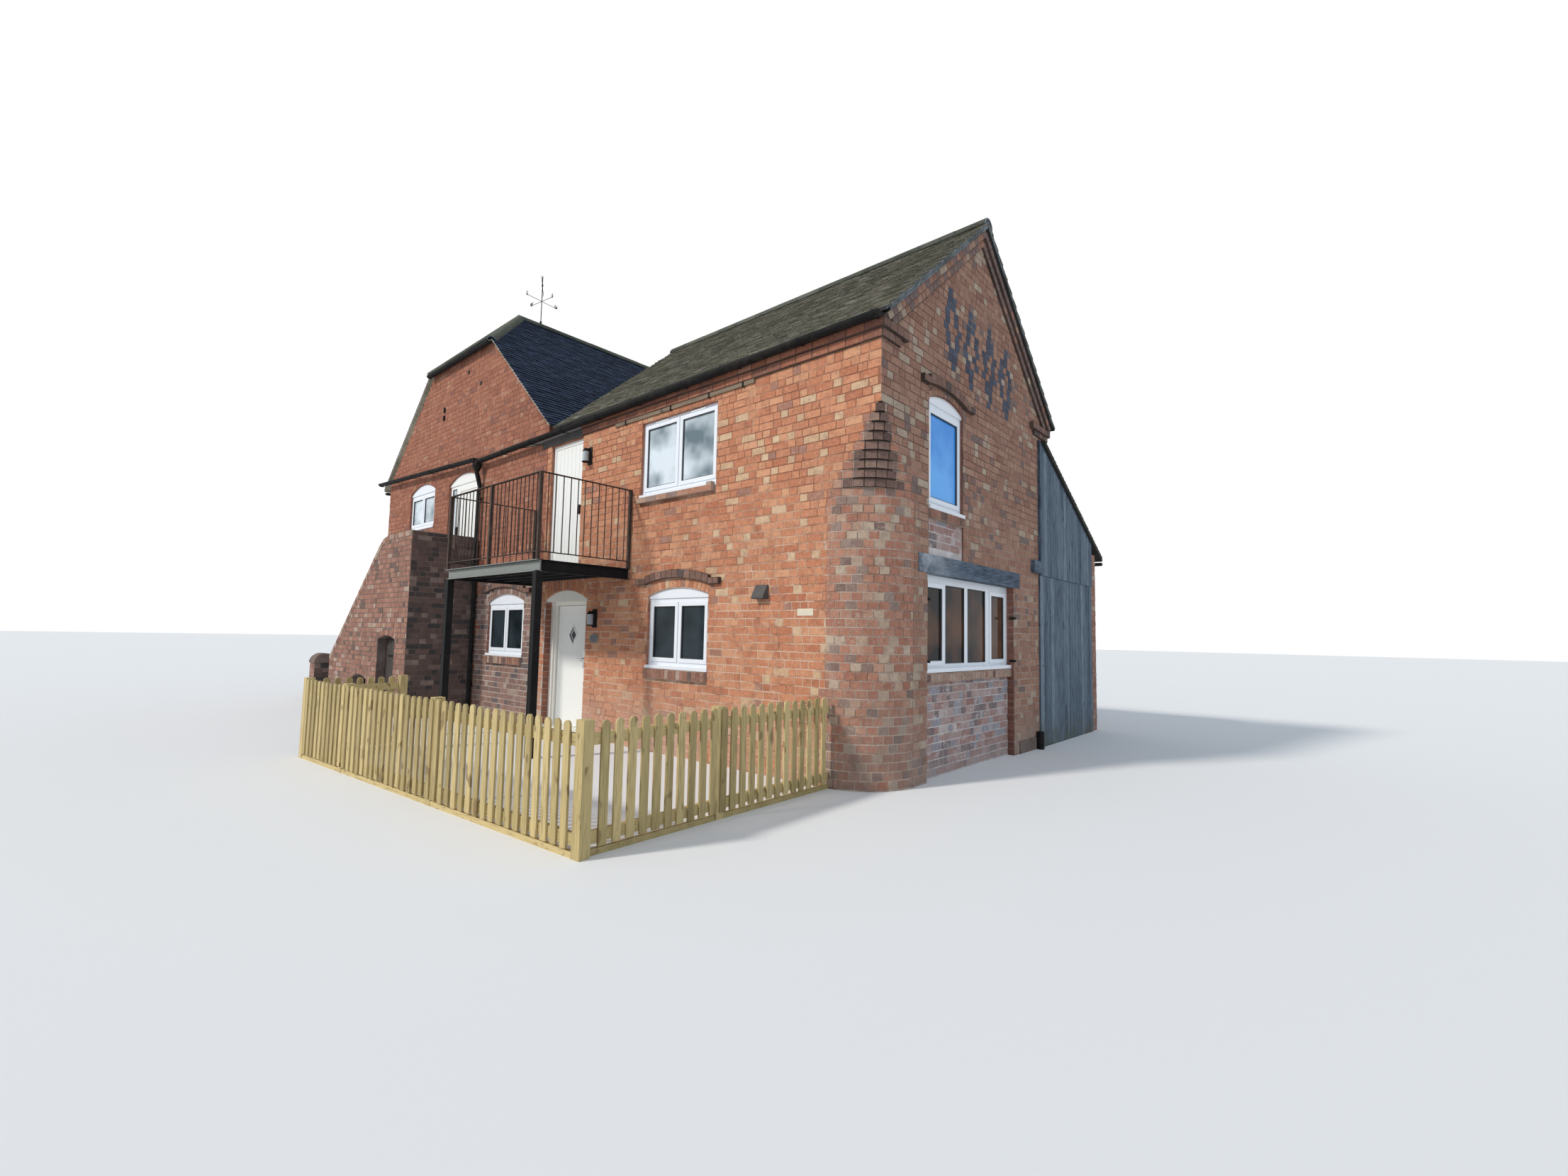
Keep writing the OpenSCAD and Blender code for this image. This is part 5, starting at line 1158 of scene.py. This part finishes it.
# a box given in a wall's own terms: along it, up it, and how deep behind its face
def wallBox(wall, u0, u1, z0, z1, d0, d1):
    if wall == "front":
        return boxPart((u0, d0, z0), (u1, d1, z1))
    if wall == "right":
        return boxPart((-d1, u0, z0), (-d0, u1, z1))
    if wall == "back":
        return boxPart((u0, kilnBack - d1, z0), (u1, kilnBack - d0, z1))
    return boxPart((kilnLeft + d0, u0, z0), (kilnLeft + d1, u1, z1))


# the glass of a window as (left, right, bottom, top), inside its frame and casements
sash = {"side": 0.094, "middle": 0.063, "bottom": 0.148, "archTop": 0.138, "flatTop": 0.092, "rubber": 0.009,
        "back": 0.03, "cartBack": 0.09, "vent": 0.14}


def lightsOf(key, single=False):
    o = opening[key]
    low, top = o["sill"] + sash["bottom"], o["spring"] - sash["archTop" if o["rise"] else "flatTop"]
    mid = (o["left"] + o["right"]) / 2
    left, right = o["left"] + sash["side"], o["right"] - sash["side"]
    if single:
        return [(left, right, low, top)]
    return [(left, mid - sash["middle"], low, top), (mid + sash["middle"], right, low, top)]


cartLights = [(1.09, 1.487, 1.296, 2.13), (1.582, 2.071, 1.262, 2.178), (2.17, 2.678, 1.262, 2.178),
              (2.85, 3.257, 1.296, 2.13)]
glazed = [("front", lightsOf(k), sash["back"]) for k in ("low", "small", "high", "kiln")]
glazed += [("right", cartLights, sash["cartBack"]), ("right", lightsOf("gableHigh", True), sash["back"])]
glazed += [("back", lightsOf(k), sash["back"]) for k in ("backLow", "backHigh", "lean")]
glazed += [("left", lightsOf(k), sash["back"]) for k in ("westLow", "westHigh")]
glazed += [("front", [(-10.195, -10.015, 2.58, 4.365)], sash["back"])]  # the light beside the landing door


# the dark rubber along the four edges of a pane
def gasketOf(wall, u0, u1, z0, z1, back):
    w = sash["rubber"]
    edges = ((u0, u1, z0, z0 + w), (u0, u1, z1 - w, z1),
             (u0, u0 + w, z0 + w, z1 - w), (u1 - w, u1, z0 + w, z1 - w))
    return [wallBox(wall, *edge, back + 0.008, back + 0.026) for edge in edges]


piece("glazingGaskets", [part for wall, panes, back in glazed for pane in panes
                         for part in gasketOf(wall, *pane, back)], "gasket")
piece("trickleVents", [
    wallBox("front", (u0 + u1) / 2 - sash["vent"], (u0 + u1) / 2 + sash["vent"], z1 + 0.058, z1 + 0.074,
            sash["back"] - 0.004, sash["back"] + 0.013) for u0, u1, z0, z1 in lightsOf("high")], "white")

# front door: leaded diamond light and lever handle; beside it the bare oval house plate
doorLight = {"x": -5.725, "z": 1.5, "wide": 0.114, "high": 0.145, "face": 0.16}
corners = [(1, 0), (0, 1), (-1, 0), (0, -1)]


def diamondRing(outer, inner, y0, y1):
    parts = []
    for (a, b), (c, d) in zip(corners, corners[1:] + corners[:1]):
        ring = [(grow * p * doorLight["wide"], grow * q * doorLight["high"]) for grow, p, q in (
            (outer, a, b), (outer, c, d), (inner, c, d), (inner, a, b))]
        parts.append(prismPart(ring, at(doorLight["x"], y1, doorLight["z"]), y1 - y0))
    return parts


def frontDoor(face):
    piece("doorLightBorder", diamondRing(1.16, 0.94, face - 0.008, face + 0.006), "doorWhite", "front_door")
    piece("doorLightLead", diamondRing(0.94, 0.84, face + 0.002, face + 0.011)
          + diamondRing(0.52, 0.02, face + 0.007, face + 0.011), "lead", "front_door")
    pane = [(p * doorLight["wide"] * 0.93, q * doorLight["high"] * 0.93) for p, q in corners]
    piece("doorLightGlass", [prismPart(pane, at(doorLight["x"], face + 0.0115, doorLight["z"]), 0.004)],
          "clearGlass", "front_door")
    piece("doorHandle", [boxPart((-5.425, face - 0.008, 1.0), (-5.375, face, 1.26)),
                         tubePart([(-5.4, face, 1.145), (-5.4, face - 0.048, 1.145)], 0.01),
                         tubePart([(-5.395, face - 0.046, 1.145), (-5.525, face - 0.046, 1.142)], 0.009)],
          "chrome", "front_door")


def ovalPart(cx, cz, rx, rz, y0, y1, sides=32):
    outline = [(rx * cos(2 * pi * k / sides), rz * sin(2 * pi * k / sides)) for k in range(sides)]
    return prismPart(outline, at(cx, y1, cz), y1 - y0)


frontDoor(doorLight["face"])
piece("housePlate", [ovalPart(-4.89, 1.46, 0.105, 0.066, -0.022, -0.004)], "greySteelAndSheen")
piece("housePlateFace", [ovalPart(-4.89, 1.46, 0.092, 0.053, -0.0245, -0.02)], "greyPlate")

# boarded doors: left edge, width of a board and their count, gap, foot and top, face, and how far proud of it
boardedDoors = {
    "storeDoorBoards": (-10.212, 0.139, 6, 0.002, 0.03, 1.325, -1.0, 0.002, "plank", "store_door"),
    "balconyDoorBoards": (-6.265, (-5.47 + 6.265) / 7, 7, 0.003, 2.47, 4.49, 0.06, 0.006, "doorWhite",
                          "house")}
for name, (left, wide, count, gap, foot, top, y, proud, key, body) in boardedDoors.items():
    piece(name, [boxPart((left + k * wide + gap, y - proud, foot),
                 (left + (k + 1) * wide - gap, y + 0.002, top)) for k in range(count)], key, body)
    if body == "store_door":
        piece("storeDoorStraps",
              [boxPart((-10.05, y - 0.009, z), (-9.5, y - 0.001, z + 0.045)) for z in (0.3, 1.02)]
              + [boxPart((-9.47, y - 0.012, 0.7), (-9.43, y - 0.001, 0.82))], "iron", body)

# small things on the walls, each box by two of its corners
wallFittings = {
    "balconyDoorLatch": ("iron", [((-5.56, 0.03, 3.38), (-5.5, 0.054, 3.52))]),
    "landingDoorLatch": ("iron", [((-9.93, 0.008, 3.42), (-9.885, 0.031, 3.58))]),
    "timberPlate": ("beam", [((-4.55, -0.024, 4.534), (-1.76, 0.01, 4.586))]),
    "plateIrons": ("iron", [((x, -0.034, 4.522), (x + 0.018, 0, 4.596)) for x in (-4.3, -3.3, -2.55, -1.95)]),
    "paleStone": ("stone", [((-1.04, -0.009, 1.768), (-0.82, 0.01, 1.844))]),
    "eavesBoards": ("vent", [((-6.6, -0.02, 4.575), (-5.412, 0.0, 4.752))]),
    "kilnIrons": ("iron", [((-10.755, -0.03, z), (-10.705, 0, z + 0.1)) for z in (5.9, 6.07)]
                  + [((x - 0.04, -0.007, z - 0.035), (x + 0.04, 0.004, z + 0.035))
                     for x, z in ((-9.1, 6.31), (-9.67, 6.67))]),
    "jambPintles": ("iron", [((-0.06, y0, z0), (0.028, y1, z1)) for y0, y1, z0, z1 in (
        (0.96, 0.985, 1.965, 1.995), (3.365, 3.392, 1.835, 1.865), (0.96, 0.985, 1.285, 1.31),
        (3.365, 3.392, 1.255, 1.282))]),
    "gablePlinth": ("darkLime", [((-0.01, 3.55, 0), (0.016, 4.3, 0.17))])}
tapered = prismPart([(-7.66, 4.76), (-6.48, 4.64), (-6.48, 4.716), (-7.66, 4.812)], at(0, 0, 0), 0.016)
for name, (key, boxes) in wallFittings.items():
    piece(name, [boxPart(*box) for box in boxes] + ([tapered] if name == "eavesBoards" else []), key)
piece("footPipe", [tubePart([(0.06, 4.2, 0), (0.06, 4.2, 0.25)], 0.05, 16)], "iron")


# strap brackets carry the eaves gutters, and a clip holds the downpipe at each storey
gutters = {"runs": (((0.0, 4.8), (-8.7, 4.706), -0.126), ((-13.8, 4.953), (-8.95, 4.764), -0.132)),
           "pitch": 0.92, "strap": 0.0065, "clips": (0.55, 2.2, 4.0), "pipe": -8.79}


def gutterBrackets():
    parts = []
    for (x0, z0), (x1, z1), y in gutters["runs"]:
        count = round(abs(x1 - x0) / gutters["pitch"])
        for k in range(count + 1):
            t = k / count
            x, z = x0 + (x1 - x0) * t, z0 + (z1 - z0) * t
            base = 0.0 if x < -5.5 else -0.06
            strap = [(x, base, z + 0.05), (x, base - 0.004, z - 0.045), (x, y, z - 0.066),
                     (x, y - 0.052, z - 0.036), (x, y - 0.064, z + 0.004)]
            parts.append(tubePart(strap, gutters["strap"], 6))
    x = gutters["pipe"]
    for z in gutters["clips"]:
        parts.append(tubePart([(x, 0, z), (x, -0.02, z)], 0.018, 8))
        parts.append(tubePart([(x, -0.06, z - 0.025), (x, -0.06, z + 0.025)], 0.041, 16))
    piece("gutterBrackets", parts, "iron")


gutterBrackets()


# two lanterns by their feet, with panes between two heights, and the vent hood at the right
lantern = {"feet": (1.617, 4.088), "pane": (0.041, 0.195), "storey": 2.5, "vent": -2}


def lanternFinish(c, n):
    low, high = lantern["feet"]
    bottom, top = lantern["pane"]
    pane = bottom < c.z - (low if c.z < lantern["storey"] else high) < top
    return 2 if c.x > lantern["vent"] else int(c.y < -0.03 and pane and abs(n.z) < 0.5)


# the gable's panes face another way than the front's, so they get other painted reflections
def paneFinish(c, n):
    return int(c.x > -0.2)


dressedCopy("window_glass_upper", "glassUpper", ["glassSkyReflection", "glassBlueReflection"], paneFinish)
dressedCopy("window_glass_ground", "glassGround", ["glassLow", "glassWarmReflection"], paneFinish)
# the balcony frame's front faces take the pale steel, a painted sheen of the light on the dark paint
dressedCopy("balcony_frame", "balconyFrameDressed", ["steel", "greySteelAndSheen"],
            lambda c, n: int(c.y < -1.326 and c.z > 2.285 and abs(n.z) < 0.9))
dressedCopy("lanterns", "lanternsDressed", ["iron", "clearGlass", "vent"], lanternFinish)

# compass letters on the vane's arms
vane = {"mast": (-10.025, 1.64), "arm": 8.93, "reach": 0.375, "letter": 0.105, "thick": 0.004,
        "rise": 0.03, "ways": {"N": 97, "E": 7, "S": 277, "W": 187}}


def letterPart(text, degrees):
    curve = bpy.data.curves.new("Letter", "FONT")
    curve.body, curve.size, curve.extrude, curve.resolution_u = text, vane["letter"], vane["thick"], 3
    curve.align_x, curve.align_y = "CENTER", "CENTER"
    holder = bpy.data.objects.new("Letter", curve)
    mesh = bpy.data.meshes.new_from_object(holder)
    a, (x, y) = radians(degrees), vane["mast"]
    centre = at(x + vane["reach"] * cos(a), y + vane["reach"] * sin(a), vane["arm"] + vane["rise"])
    axis = Matrix.Rotation(a, 3, "Z") @ Matrix.Rotation(radians(90), 3, "X")
    part = [centre + axis @ v.co for v in mesh.vertices], [tuple(p.vertices) for p in mesh.polygons]
    bpy.data.objects.remove(holder)
    return part


piece("vaneLetters", [letterPart(text, degrees) for text, degrees in vane["ways"].items()], "iron")
print("fittings placed")

# stage and light: the camera and mirrors see a white sky, a soft blue one and two suns light the house;
# a sun has its azimuth, elevation, strength, softness and colour
stage = {"ground": (0.8, 0.8, 0.79), "size": 150, "sky": (0.74, 0.85, 1.0), "skyStrength": 0.56,
         "key": (-22, 36, 2.35, 6, (1.0, 0.965, 0.91)), "fill": (75, 30, 0.42, 40, (0.82, 0.91, 1.0))}
floorCoat, s = Coat("StudioFloor"), stage["size"]
feed(floorCoat.tree, floorCoat.shader, {"Base Color": stage["ground"], "Roughness": 0.9})
square = [(-s, -s, 0), (s, -s, 0), (s, s, 0), (-s, s, 0)]
linked("StudioFloor", meshOf("StudioFloor", square, [(0, 1, 2, 3)], floorCoat.mat))

world = bpy.data.worlds.new("Studio")
scene.world = world
world.use_nodes = True
sky = world.node_tree
soft = sky.nodes["Background"]
feed(sky, soft, {"Color": stage["sky"], "Strength": stage["skyStrength"]})
bright = addNode(sky, "ShaderNodeBackground", {"Color": (1, 1, 1)})
paths = sky.nodes.new("ShaderNodeLightPath").outputs
seen = paths["Is Camera Ray"]
for ray in ("Is Transmission Ray", "Is Glossy Ray"):
    seen = addNode(sky, "ShaderNodeMath", {0: seen, 1: paths[ray]}, operation="MAXIMUM")
mixed = addNode(sky, "ShaderNodeMixShader", {"Fac": seen, 1: soft.outputs[0], 2: bright})
feed(sky, sky.nodes["World Output"], {"Surface": mixed})


def sunLamp(name, azimuth, elevation, strength, softness, colour):
    data = bpy.data.lights.new(name, "SUN")
    data.energy, data.angle, data.color = strength, radians(softness), colour
    lamp = linked(name, data)
    a, e = radians(azimuth), radians(elevation)
    toward = Vector((sin(a) * cos(e), -cos(a) * cos(e), sin(e)))
    lamp.rotation_mode = "QUATERNION"
    lamp.rotation_quaternion = toward.to_track_quat("Z", "Y")


sunLamp("KeySun", *stage["key"])
sunLamp("FillSun", *stage["fill"])

camera = {"place": (3.522, -5.5, 1.54), "yaw": 40.9105, "pitch": 4.21705, "roll": 1.13686, "lens": 15.113}
yaw, tip, roll = (radians(camera[k]) for k in ("yaw", "pitch", "roll"))
backward = Vector((sin(yaw) * cos(tip), -cos(yaw) * cos(tip), -sin(tip)))
rightward = upward.cross(backward).normalized()
overhead = backward.cross(rightward)
sideways = rightward * cos(roll) + overhead * sin(roll)
turned = Matrix((sideways, overhead * cos(roll) - rightward * sin(roll), backward))
camData = bpy.data.cameras.new("Camera")
camData.lens, camData.sensor_width = camera["lens"], 36
camData.clip_start, camData.clip_end = 0.05, 400
cam = linked("Camera", camData)
cam.matrix_world = Matrix.Translation(at(*camera["place"])) @ turned.transposed().to_4x4()
scene.camera = cam
scene.view_settings.view_transform = "Standard"
